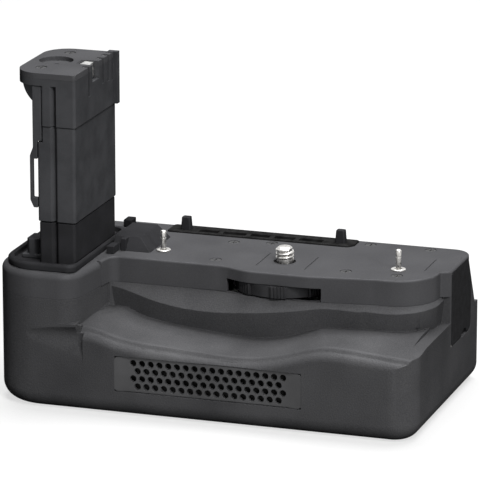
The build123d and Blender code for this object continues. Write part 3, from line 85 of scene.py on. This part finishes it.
def deselect_everything():
    if bpy.context.object and bpy.context.object.mode != "OBJECT":
        bpy.ops.object.mode_set(mode="OBJECT")
    bpy.ops.object.select_all(action="DESELECT")


def pick_object(piece):
    deselect_everything()
    piece.select_set(True)
    bpy.context.view_layer.objects.active = piece


def edit_points(piece, wanted):
    """Opens the piece for editing with the points selected whose place is wanted."""
    pick_object(piece)
    bpy.ops.object.mode_set(mode="EDIT")
    bpy.ops.mesh.select_mode(type="VERT")
    bpy.ops.mesh.select_all(action="DESELECT")
    bpy.ops.object.mode_set(mode="OBJECT")
    for point in piece.data.vertices:
        point.select = wanted(point.co)
    bpy.ops.object.mode_set(mode="EDIT")


def edit_all(piece):
    pick_object(piece)
    bpy.ops.object.mode_set(mode="EDIT")
    bpy.ops.mesh.select_all(action="SELECT")


def leave_editing():
    bpy.ops.object.mode_set(mode="OBJECT")


def settle(piece):
    """Puts the piece's place into its mesh, with its object at the origin."""
    leave_editing()
    pick_object(piece)
    bpy.ops.object.transform_apply(location=True, rotation=True, scale=True)


def apply_modifiers(piece):
    pick_object(piece)
    for modifier in list(piece.modifiers):
        bpy.ops.object.modifier_apply(modifier=modifier.name)


def join_pieces(first, others):
    deselect_everything()
    for piece in others:
        piece.select_set(True)
    first.select_set(True)
    bpy.context.view_layer.objects.active = first
    bpy.ops.object.join()
    return first


def smooth_shade(piece, degrees=35.0):
    """Smooth shading up to an angle, with the large faces kept flat."""
    pick_object(piece)
    bpy.ops.object.shade_smooth_by_angle(angle=math.radians(degrees))
    weighted = piece.modifiers.new("flat_faces", "WEIGHTED_NORMAL")
    weighted.keep_sharp = True
    weighted.weight = 80
    apply_modifiers(piece)


def copy_of_node(node, name, join_flats=True):
    """A merged copy of a CAD node's mesh, as the start of a finer piece."""
    piece = bpy.data.objects.new(name, nodes[node].data.copy())
    bpy.context.scene.collection.objects.link(piece)
    piece.data.materials.clear()
    edit_all(piece)
    bpy.ops.mesh.remove_doubles(threshold=0.002 * MM)
    if join_flats:
        bpy.ops.mesh.dissolve_limited(angle_limit=math.radians(0.6))
    leave_editing()
    return piece


def bevel_edges(piece, width, segments=2, degrees=32.0):
    bevel = piece.modifiers.new("edges", "BEVEL")
    bevel.width = width * MM
    bevel.segments = segments
    bevel.limit_method = "ANGLE"
    bevel.angle_limit = math.radians(degrees)
    bevel.use_clamp_overlap = True
    bevel.loop_slide = False
    apply_modifiers(piece)


def stand_for(piece, material, *replaced):
    """Dresses a finished piece, lets it ride where its nodes ride, and hides them."""
    piece.data.materials.clear()
    piece.data.materials.append(material)
    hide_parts(*replaced)
    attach(piece, body_of_node[replaced[0]])
    return piece


# Materials

def new_material(name):
    material = bpy.data.materials.new(name)
    material.use_nodes = True
    tree = material.node_tree
    tree.nodes.clear()
    output = tree.nodes.new("ShaderNodeOutputMaterial")
    shader = tree.nodes.new("ShaderNodeBsdfPrincipled")
    tree.links.new(shader.outputs["BSDF"], output.inputs["Surface"])
    where = tree.nodes.new("ShaderNodeTexCoord")
    return material, tree, shader, where.outputs["Object"]


def noise(tree, where, grain, detail=3.0, roughness=0.55):
    """Noise whose lumps are about grain millimetres across."""
    node = tree.nodes.new("ShaderNodeTexNoise")
    node.inputs["Scale"].default_value = 1.0 / (grain * MM)
    node.inputs["Detail"].default_value = detail
    node.inputs["Roughness"].default_value = roughness
    tree.links.new(where, node.inputs["Vector"])
    return node.outputs["Fac"]


def cells(tree, where, grain, feature="F1", output="Distance"):
    node = tree.nodes.new("ShaderNodeTexVoronoi")
    node.feature = feature
    node.inputs["Scale"].default_value = 1.0 / (grain * MM)
    tree.links.new(where, node.inputs["Vector"])
    return node.outputs[output]


def ramp(tree, value, stops):
    node = tree.nodes.new("ShaderNodeValToRGB")
    elements = node.color_ramp.elements
    while len(elements) < len(stops):
        elements.new(0.5)
    for element, (place, colour) in zip(elements, stops):
        element.position = place
        element.color = (*colour, 1.0)
    tree.links.new(value, node.inputs["Fac"])
    return node.outputs["Color"]


def spread(tree, value, low, high, from_low=0.3, from_high=0.7):
    node = tree.nodes.new("ShaderNodeMapRange")
    node.inputs["From Min"].default_value = from_low
    node.inputs["From Max"].default_value = from_high
    node.inputs["To Min"].default_value = low
    node.inputs["To Max"].default_value = high
    tree.links.new(value, node.inputs["Value"])
    return node.outputs["Result"]


def combine(tree, operation, first, second):
    node = tree.nodes.new("ShaderNodeMath")
    node.operation = operation
    for socket, value in zip(node.inputs, (first, second)):
        if isinstance(value, (int, float)):
            socket.default_value = value
        else:
            tree.links.new(value, socket)
    return node.outputs[0]


def bump(tree, height, depth, strength, normal=None):
    node = tree.nodes.new("ShaderNodeBump")
    node.inputs["Strength"].default_value = strength
    node.inputs["Distance"].default_value = depth * MM
    tree.links.new(height, node.inputs["Height"])
    if normal is not None:
        tree.links.new(normal, node.inputs["Normal"])
    return node.outputs["Normal"]


def round_normal(tree, radius):
    node = tree.nodes.new("ShaderNodeBevel")
    node.samples = 4
    node.inputs["Radius"].default_value = radius * MM
    return node.outputs["Normal"]


def satin_sheen(shader, sheen):
    """A low sheen seen straight on, with no bright rim at grazing angles, as on matt dark plastic."""
    shader.inputs["Metallic"].default_value = sheen
    shader.inputs["Specular IOR Level"].default_value = 0.0
    shader.inputs["Specular Tint"].default_value = (0, 0, 0, 1)


def moulded_plastic(name, dark, light, grain, depth, rough, sheen=0.13, edge=0.25, strength=0.6):
    """Moulded plastic with an etched grain, uneven in tone over some centimetres."""
    material, tree, shader, where = new_material(name)
    patches = noise(tree, where, 22.0, 2.0)
    specks = noise(tree, where, grain, 4.0, 0.7)
    tone = combine(tree, "ADD", combine(tree, "MULTIPLY", patches, 0.45),
                   combine(tree, "MULTIPLY", specks, 0.55))
    tree.links.new(ramp(tree, tone, ((0.36, dark), (0.66, light))), shader.inputs["Base Color"])
    tree.links.new(spread(tree, specks, rough - 0.07, rough + 0.09), shader.inputs["Roughness"])
    satin_sheen(shader, sheen)
    pits = cells(tree, where, grain * 1.3)
    height = combine(tree, "ADD", combine(tree, "MULTIPLY", pits, 0.6), specks)
    normal = bump(tree, height, depth, strength, round_normal(tree, edge))
    tree.links.new(normal, shader.inputs["Normal"])
    return material


def satin_plastic(name, dark, light, rough, sheen=0.15, edge=0.2):
    """Smooth moulded plastic with faint flow marks and a trace of grain."""
    material, tree, shader, where = new_material(name)
    flow = noise(tree, where, 9.0, 3.0)
    fine = noise(tree, where, 0.25, 2.0)
    tone = combine(tree, "ADD", combine(tree, "MULTIPLY", flow, 0.7),
                   combine(tree, "MULTIPLY", fine, 0.3))
    tree.links.new(ramp(tree, tone, ((0.38, dark), (0.62, light))), shader.inputs["Base Color"])
    tree.links.new(spread(tree, flow, rough - 0.05, rough + 0.06), shader.inputs["Roughness"])
    satin_sheen(shader, sheen)
    normal = bump(tree, fine, 0.02, 0.5, round_normal(tree, edge))
    tree.links.new(normal, shader.inputs["Normal"])
    return material


def soft_rubber(name, dark, light, grain, depth):
    material, tree, shader, where = new_material(name)
    leather = cells(tree, where, grain, "DISTANCE_TO_EDGE")
    dust = noise(tree, where, 3.0, 4.0)
    tree.links.new(ramp(tree, dust, ((0.35, dark), (0.7, light))), shader.inputs["Base Color"])
    tree.links.new(spread(tree, dust, 0.62, 0.8), shader.inputs["Roughness"])
    satin_sheen(shader, 0.1)
    height = spread(tree, leather, 0.0, 1.0, 0.0, 0.25)
    normal = bump(tree, height, depth, 0.6, round_normal(tree, 0.2))
    tree.links.new(normal, shader.inputs["Normal"])
    return material


def turned_metal(name, dark, light, rough, metallic=1.0, ring=0.18):
    """Metal with fine turning lines round Z, and a little tarnish."""
    material, tree, shader, where = new_material(name)
    wave = tree.nodes.new("ShaderNodeTexWave")
    wave.bands_direction = "Z"
    wave.inputs["Scale"].default_value = 1.0 / (ring * MM) / 20.0
    wave.inputs["Distortion"].default_value = 0.6
    tree.links.new(where, wave.inputs["Vector"])
    tarnish = noise(tree, where, 1.4, 4.0)
    tree.links.new(ramp(tree, tarnish, ((0.3, dark), (0.7, light))), shader.inputs["Base Color"])
    tree.links.new(spread(tree, tarnish, rough - 0.06, rough + 0.12), shader.inputs["Roughness"])
    shader.inputs["Metallic"].default_value = metallic
    normal = bump(tree, wave.outputs["Fac"], 0.01, 0.35, round_normal(tree, 0.12))
    tree.links.new(normal, shader.inputs["Normal"])
    return material


def painted_sheet(name, dark, light, rough):
    """Powder paint on sheet metal, with a fine orange peel."""
    material, tree, shader, where = new_material(name)
    peel = noise(tree, where, 0.5, 3.0)
    cloud = noise(tree, where, 12.0, 2.0)
    tree.links.new(ramp(tree, cloud, ((0.35, dark), (0.65, light))), shader.inputs["Base Color"])
    tree.links.new(spread(tree, peel, rough - 0.06, rough + 0.08), shader.inputs["Roughness"])
    shader.inputs["Specular IOR Level"].default_value = 0.4
    normal = bump(tree, peel, 0.03, 0.5, round_normal(tree, 0.15))
    tree.links.new(normal, shader.inputs["Normal"])
    return material


def solder_mask(name):
    """Green board with darker copper tracks under the mask."""
    material, tree, shader, where = new_material(name)
    tracks = cells(tree, where, 2.6, "DISTANCE_TO_EDGE")
    line = spread(tree, tracks, 0.0, 1.0, 0.03, 0.07)
    tree.links.new(ramp(tree, line, ((0.0, (0.03, 0.2, 0.09)), (1.0, (0.012, 0.1, 0.045)))),
                   shader.inputs["Base Color"])
    tree.links.new(spread(tree, noise(tree, where, 2.0), 0.25, 0.4), shader.inputs["Roughness"])
    tree.links.new(bump(tree, line, 0.03, 0.4), shader.inputs["Normal"])
    return material


def filter_mesh(name):
    """Woven filter cloth, dark, with its threads in relief."""
    material, tree, shader, where = new_material(name)
    across = tree.nodes.new("ShaderNodeTexWave")
    along = tree.nodes.new("ShaderNodeTexWave")
    for wave, direction in ((across, "X"), (along, "Z")):
        wave.bands_direction = direction
        wave.inputs["Scale"].default_value = 1.0 / (0.5 * MM) / 20.0
        tree.links.new(where, wave.inputs["Vector"])
    weave = combine(tree, "MAXIMUM", across.outputs["Fac"], along.outputs["Fac"])
    tree.links.new(ramp(tree, weave, ((0.5, (0.004, 0.004, 0.004)), (0.95, (0.03, 0.03, 0.03)))),
                   shader.inputs["Base Color"])
    tree.links.new(spread(tree, noise(tree, where, 2.0), 0.75, 0.95), shader.inputs["Roughness"])
    shader.inputs["Specular IOR Level"].default_value = 0.1
    tree.links.new(bump(tree, weave, 0.1, 0.8), shader.inputs["Normal"])
    return material


def ribbon_film(name):
    material, tree, shader, where = new_material(name)
    wave = tree.nodes.new("ShaderNodeTexWave")
    wave.bands_direction = "Y"
    wave.inputs["Scale"].default_value = 1.0 / (0.8 * MM) / 20.0
    tree.links.new(where, wave.inputs["Vector"])
    tree.links.new(ramp(tree, wave.outputs["Fac"], ((0.3, (0.2, 0.1, 0.03)), (0.6, (0.4, 0.22, 0.06)))),
                   shader.inputs["Base Color"])
    tree.links.new(spread(tree, noise(tree, where, 3.0), 0.3, 0.45), shader.inputs["Roughness"])
    return material


MATERIALS = {
    "case_plastic": moulded_plastic("case_grain", (0.062, 0.062, 0.065), (0.108, 0.108, 0.112),
                                    grain=0.42, depth=0.09, rough=0.42, sheen=0.14, edge=0.4,
                                    strength=0.75),
    "deck_plastic": moulded_plastic("deck_grain", (0.072, 0.072, 0.076), (0.102, 0.102, 0.107),
                                    grain=0.3, depth=0.05, rough=0.45, sheen=0.14, edge=0.3,
                                    strength=0.6),
    "inner_plastic": satin_plastic("inner_black", (0.012, 0.012, 0.013), (0.024, 0.024, 0.026), 0.5),
    "tower_plastic": satin_plastic("tower_satin", (0.06, 0.061, 0.065), (0.082, 0.083, 0.088),
                                   0.36, sheen=0.18),
    "grille_metal": painted_sheet("grille_paint", (0.05, 0.05, 0.052), (0.075, 0.075, 0.078), 0.45),
    "dial_plastic": satin_plastic("dial_black", (0.035, 0.035, 0.037), (0.055, 0.055, 0.058), 0.42),
    "collar_plastic": satin_plastic("collar_black", (0.031, 0.031, 0.033), (0.039, 0.039, 0.042),
                                    0.4, sheen=0.16),
    "seal_rubber": soft_rubber("seal_black", (0.014, 0.014, 0.014), (0.03, 0.03, 0.03), 0.5, 0.02),
    "grip_rubber": soft_rubber("rubber_grain", (0.031, 0.031, 0.032), (0.039, 0.039, 0.041), 0.7, 0.05),
    "base_metal": painted_sheet("base_paint", (0.016, 0.016, 0.017), (0.03, 0.03, 0.032), 0.55),
    "steel": turned_metal("turned_steel", (0.42, 0.41, 0.39), (0.72, 0.71, 0.69), 0.3),
    "screw_black": turned_metal("oxide_black", (0.02, 0.02, 0.021), (0.05, 0.05, 0.052), 0.42, 0.7),
    "brass": turned_metal("gold_plate", (0.55, 0.38, 0.13), (0.85, 0.64, 0.28), 0.28),
    "shield_metal": turned_metal("tin_plate", (0.4, 0.4, 0.4), (0.62, 0.62, 0.6), 0.34),
    "board_green": solder_mask("board_mask"),
    "chip_black": satin_plastic("chip_package", (0.015, 0.015, 0.016), (0.03, 0.03, 0.031), 0.6),
    "filter_cloth": filter_mesh("filter_weave"),
    "chassis_metal": painted_sheet("pressed_sheet", (0.3, 0.3, 0.3), (0.42, 0.42, 0.41), 0.38),
    "ribbon": ribbon_film("ribbon_film"),
}


def dress_nodes():
    """Every node of the frame gets its slot's material; pieces made below replace some."""
    for name, node in nodes.items():
        node.data.materials.clear()
        node.data.materials.append(MATERIALS[slot_of_node[name]])


# Pieces from the frame with their edges eased

EASED_NODES = {
    "lower_case": 0.35, "upper_case": 0.3, "tower_collar": 0.3, "tower_foot": 0.3,
    "tower_sleeve": 0.35, "tower_clip": 0.3, "tower_head": 0.3, "head_cap": 0.25,
    "head_contacts": 0.1, "head_screws": 0.1, "tower_lug": 0.35, "door_keeper": 0.35,
    "keeper_stop": 0.3, "guide_post_left": 0.3, "guide_post_right": 0.3, "duct_gasket": 0.2,
    "lock_dial": 0.14, "deck_screws": 0.08, "base_screws": 0.1, "base_plate": 0.2,
    "base_pad": 0.12, "thumb_pad": 0.2, "port_frame": 0.15, "port_cover": 0.3,
    "battery_door": 0.25, "door_latch": 0.12, "battery_catch": 0.2, "network_port": 0.15,
    "usb_port": 0.05, "battery_bay": 0.2, "battery_contact_block": 0.15, "chassis": 0.15,
    "blower_motor": 0.2,
}


# Its flats stay unjoined, because joined ones shade with a dark wedge
UNJOINED_NODE = "head_cap"

# Smooth black pieces beside the grained casings
DARKER_NODES = ("tower_collar", "tower_foot", "door_keeper", "guide_post_left", "guide_post_right")


def eased_copy(node):
    piece = copy_of_node(node, node + "_eased", node != UNJOINED_NODE)
    bevel_edges(piece, EASED_NODES[node])
    smooth_shade(piece)
    return piece


def ease_frame_pieces():
    for node in EASED_NODES:
        slot = "collar_plastic" if node in DARKER_NODES else slot_of_node[node]
        stand_for(eased_copy(node), MATERIALS[slot], node)


# Round pieces, threads and springs

STEPS_PER_TURN = 32

def turned_piece(name, centre, profile, sides=40):
    """A round piece drawn up from its foot: profile is its heights and radii in millimetres."""
    x, y = centre
    height, radius = profile[0]
    deselect_everything()
    bpy.ops.mesh.primitive_circle_add(vertices=sides, radius=radius * MM, fill_type="NGON",
                                      location=(x * MM, y * MM, height * MM))
    piece = bpy.context.object
    piece.name = name
    settle(piece)
    edit_all(piece)
    for next_height, next_radius in profile[1:]:
        bpy.ops.mesh.extrude_region_move(
            TRANSFORM_OT_translate={"value": (0, 0, (next_height - height) * MM)})
        grow = next_radius / radius
        bpy.ops.transform.resize(value=(grow, grow, 1),
                                 center_override=(x * MM, y * MM, next_height * MM))
        height, radius = next_height, next_radius
    bpy.ops.mesh.select_all(action="SELECT")
    bpy.ops.mesh.normals_make_consistent(inside=False)
    leave_editing()
    return piece


def wound_ridge(name, centre, low, radius, deep, high, pitch, turns, sides=8):
    """A thread's ridge or a spring's wire: a closed section wound up round an upright axis."""
    deselect_everything()
    bpy.ops.mesh.primitive_circle_add(vertices=sides, radius=MM)
    piece = bpy.context.object
    piece.name = name
    piece.scale = (deep, high, 1)
    piece.rotation_euler = (math.radians(90), 0, 0)
    piece.location = (radius * MM, 0, 0)
    settle(piece)
    screw = piece.modifiers.new("turns", "SCREW")
    screw.axis = "Z"
    screw.angle = math.radians(360) * turns
    screw.screw_offset = pitch * MM * turns
    screw.steps = int(STEPS_PER_TURN * turns)
    screw.render_steps = screw.steps
    screw.use_merge_vertices = False
    apply_modifiers(piece)
    edit_all(piece)
    bpy.ops.mesh.fill_holes(sides=0)
    bpy.ops.mesh.select_all(action="SELECT")
    bpy.ops.mesh.normals_make_consistent(inside=False)
    leave_editing()
    piece.location = (centre[0] * MM, centre[1] * MM, low * MM)
    settle(piece)
    return piece


THREAD_PITCH = 1.27
THREAD_DEPTH = 0.6
THREAD_CREST = 3.175
SCREW_FOOT_RADIUS = 4.2
SCREW_FOOT_HEIGHT = 5.8
SCREW_SHANK_RADIUS = 2.7


def camera_screw():
    """The quarter inch screw, with its thread, its rounded point and its hexagonal foot."""
    low, high = mm_box("camera_screw")
    deck = mm_box("upper_case")[1].z
    root = THREAD_CREST - THREAD_DEPTH
    foot = turned_piece("screw_foot", (0, 0), ((low.z, SCREW_FOOT_RADIUS),
                                               (low.z + SCREW_FOOT_HEIGHT, SCREW_FOOT_RADIUS)), 6)
    bevel_edges(foot, 0.25)
    rod = turned_piece("screw_rod", (0, 0), (
        (low.z + 5.0, SCREW_SHANK_RADIUS), (deck + 0.2, SCREW_SHANK_RADIUS), (deck + 0.4, root),
        (high.z - 0.5, root), (high.z - 0.1, root - 0.5), (high.z, root - 1.0)))
    turns = (high.z - deck - 1.6) / THREAD_PITCH
    ridge = wound_ridge("screw_ridge", (0, 0), deck + 0.75, root, THREAD_DEPTH,
                        THREAD_PITCH * 0.44, THREAD_PITCH, turns)
    piece = join_pieces(rod, (foot, ridge))
    smooth_shade(piece, 40)
    return stand_for(piece, MATERIALS["steel"], "camera_screw")


PIN_NODES = ("locating_pin_left", "locating_pin_right")
COLLAR_RADIUS = 2.5


def locating_pins():
    """Two steel pins with a groove under the rounded tip."""
    deck = mm_box("upper_case")[1].z
    for node in PIN_NODES:
        low, high = mm_box(node)
        radius = (high.x - low.x) / 2
        top = high.z
        pin = turned_piece(node + "_turned", middle(node), (
            (low.z, radius * 0.68), (deck + 0.8, radius * 0.68), (deck + 0.86, radius),
            (top - 2.7, radius), (top - 2.62, radius * 0.82), (top - 2.28, radius * 0.82),
            (top - 2.2, radius), (top - 0.5, radius), (top - 0.2, radius * 0.87),
            (top - 0.05, radius * 0.62), (top, radius * 0.3)), 32)
        smooth_shade(pin, 30)
        stand_for(pin, MATERIALS["steel"], node)


def pin_collars():
    """A flanged steel washer round each pin, its rim eased."""
    rings = []
    low, high = mm_box("pin_collars")
    for node in PIN_NODES:
        ring = turned_piece("collar_ring", middle(node), (
            (low.z, COLLAR_RADIUS), (high.z - 0.25, COLLAR_RADIUS),
            (high.z - 0.08, COLLAR_RADIUS - 0.15), (high.z, COLLAR_RADIUS - 0.35),
            (high.z, 1.35), (high.z - 0.12, 1.2), (low.z + 0.1, 1.15)), 40)
        rings.append(ring)
    piece = join_pieces(rings[0], rings[1:])
    smooth_shade(piece, 35)
    return stand_for(piece, MATERIALS["steel"], "pin_collars")


SPRING_WIRE_RADIUS = 0.38
SPRING_COILS = 4.0


def screw_spring():
    """The coil spring that lifts the screw's foot; the real spring is pressed shorter as the screw goes
    down, but this one is wound at one length.
    """
    low, high = mm_box("screw_spring")
    wire = SPRING_WIRE_RADIUS
    radius = (high.x - low.x) / 2 - wire
    pitch = (high.z - low.z - wire * 2) / SPRING_COILS
    piece = wound_ridge("screw_spring_coil", (0, 0), low.z + wire, radius, wire, wire, pitch,
                        SPRING_COILS, sides=10)
    smooth_shade(piece, 60)
    stand_for(piece, MATERIALS["steel"], "screw_spring")
    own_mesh(piece)
    return piece


def tripod_socket():
    """The threaded insert in the underside, with its thread cut inside."""
    piece = copy_of_node("tripod_socket", "tripod_socket_turned")
    bevel_edges(piece, 0.2)
    low, high = mm_box("tripod_socket")
    turns = (high.z - low.z - 1.2) / THREAD_PITCH
    ridge = wound_ridge("socket_ridge", (0, 0), low.z + 0.6, 3.2, 0.36, THREAD_PITCH * 0.4,
                        THREAD_PITCH, turns)
    piece = join_pieces(piece, (ridge,))
    smooth_shade(piece, 35)
    return stand_for(piece, MATERIALS["steel"], "tripod_socket")


# The grille plate, bent forward at its ends: how long each ramp is, how far its end comes
# forward, and how far it reaches past its node's box to meet the case

GRILLE_RAMP = 4.6
GRILLE_END = 1.6
GRILLE_LIFT = 0.7
GRILLE_REACH = 0.2


def front_grille():
    low, high = mm_box("front_grille")
    piece = copy_of_node("front_grille", "front_grille_bent")
    for x in (low.x + GRILLE_RAMP, high.x - GRILLE_RAMP):
        edit_all(piece)
        bpy.ops.mesh.bisect(plane_co=(x * MM, 0, 0), plane_no=(1, 0, 0))
        leave_editing()
    ends = ((low.x - 1, low.x + GRILLE_END), (high.x - GRILLE_END, high.x + 1))
    edit_points(piece, lambda place: any(a * MM < place.x < b * MM for a, b in ends))
    bpy.ops.transform.translate(value=(0, -GRILLE_LIFT * MM, 0))
    leave_editing()
    for end, reach in ((low.x, -GRILLE_REACH), (high.x, GRILLE_REACH)):
        edit_points(piece, lambda place: abs(place.x - end * MM) < 0.3 * MM)
        bpy.ops.transform.translate(value=(reach * MM, 0, 0))
        leave_editing()
    bevel_edges(piece, 0.16)
    smooth_shade(piece, 30)
    return stand_for(piece, MATERIALS["grille_metal"], "front_grille")


def make_pieces():
    ease_frame_pieces()
    camera_screw()
    locating_pins()
    pin_collars()
    screw_spring()
    tripod_socket()
    front_grille()


# Floor, lights and camera

WORLD_FILL = 0.03
FLOOR_WHITE = 0.65
FLOOR_DIM = (0.08, 0.08, 0.08)
LAMPS = (
    # name, place, aim, width, height, watts
    ("top_softbox", (0.0, 0.35, 1.2), (0.0, 0.0, 0.03), 1.0, 0.7, 20.0),
    ("front_softbox", (0.6, -0.85, 1.25), (0.0, 0.0, 0.04), 0.35, 0.4, 13.0),
    ("corner_softbox", (1.0, -0.75, 0.55), (0.0, 0.0, 0.04), 0.12, 0.6, 5.0),
    ("edge_strip", (0.19, -1.2, 0.6), (0.0, 0.0, 0.05), 0.06, 0.6, 1.2),
)

def floor_material():
    """White paper where it is seen or mirrored; to soft light it is darker, so it throws little up."""
    material, tree, shader, where = new_material("floor_paper")
    tooth = noise(tree, where, 1.2, 4.0)
    tree.links.new(ramp(tree, tooth, ((0.3, (0.8, 0.8, 0.8)), (0.7, (0.84, 0.84, 0.84)))),
                   shader.inputs["Base Color"])
    shader.inputs["Roughness"].default_value = 0.95
    shader.inputs["Specular IOR Level"].default_value = 0.0
    white = tree.nodes.new("ShaderNodeEmission")
    white.inputs["Strength"].default_value = 1.0
    paper = tree.nodes.new("ShaderNodeMixShader")
    paper.inputs["Fac"].default_value = FLOOR_WHITE
    tree.links.new(shader.outputs[0], paper.inputs[1])
    tree.links.new(white.outputs[0], paper.inputs[2])
    dim = tree.nodes.new("ShaderNodeBsdfDiffuse")
    dim.inputs["Color"].default_value = (*FLOOR_DIM, 1)
    seen = tree.nodes.new("ShaderNodeMixShader")
    tree.links.new(seen_directly(tree), seen.inputs["Fac"])
    tree.links.new(dim.outputs[0], seen.inputs[1])
    tree.links.new(paper.outputs[0], seen.inputs[2])
    output = next(node for node in tree.nodes if node.type == "OUTPUT_MATERIAL")
    tree.links.new(seen.outputs[0], output.inputs["Surface"])
    return material


def seen_directly(tree):
    rays = tree.nodes.new("ShaderNodeLightPath")
    direct = combine(tree, "MAXIMUM", rays.outputs["Is Camera Ray"], rays.outputs["Is Glossy Ray"])
    return combine(tree, "MAXIMUM", direct, rays.outputs["Is Transmission Ray"])


def lay_floor():
    deselect_everything()
    bpy.ops.mesh.primitive_plane_add(size=FLOOR_SIZE, location=(0, 0, -0.05 * MM))
    floor = bpy.context.object
    floor.name = "floor"
    floor.data.materials.append(floor_material())
    settle(floor)


def light_world():
    world = bpy.data.worlds.new("studio")
    bpy.context.scene.world = world
    world.use_nodes = True
    tree = world.node_tree
    tree.nodes.clear()
    output = tree.nodes.new("ShaderNodeOutputWorld")
    mix = tree.nodes.new("ShaderNodeMixShader")
    seen = tree.nodes.new("ShaderNodeBackground")
    seen.inputs["Color"].default_value = (1, 1, 1, 1)
    seen.inputs["Strength"].default_value = 1.0
    fill = tree.nodes.new("ShaderNodeBackground")
    fill.inputs["Color"].default_value = (0.96, 0.98, 1.0, 1)
    fill.inputs["Strength"].default_value = WORLD_FILL
    tree.links.new(seen_directly(tree), mix.inputs["Fac"])
    tree.links.new(fill.outputs[0], mix.inputs[1])
    tree.links.new(seen.outputs[0], mix.inputs[2])
    tree.links.new(mix.outputs[0], output.inputs["Surface"])


def hang_lamps():
    for name, place, aim, width, height, watts in LAMPS:
        lamp = bpy.data.lights.new(name, "AREA")
        lamp.shape = "RECTANGLE"
        lamp.size = width
        lamp.size_y = height
        lamp.energy = watts
        holder = bpy.data.objects.new(name, lamp)
        bpy.context.scene.collection.objects.link(holder)
        holder.location = place
        direction = Vector(aim) - Vector(place)
        holder.rotation_euler = direction.to_track_quat("-Z", "Y").to_euler()


def set_camera():
    camera = bpy.data.cameras.new("photo_camera")
    camera.sensor_width = CAMERA_SENSOR
    camera.lens = CAMERA_LENS
    camera.clip_start = 0.05
    camera.clip_end = 20.0
    holder = bpy.data.objects.new("photo_camera", camera)
    bpy.context.scene.collection.objects.link(holder)
    holder.location = CAMERA_PLACE
    holder.rotation_euler = (math.radians(90) - VIEW_TILT, 0, VIEW_TURN)
    bpy.context.scene.camera = holder


set_camera()
dress_nodes()
make_pieces()
lay_floor()
light_world()
hang_lamps()
bpy.context.scene.view_settings.view_transform = "Standard"
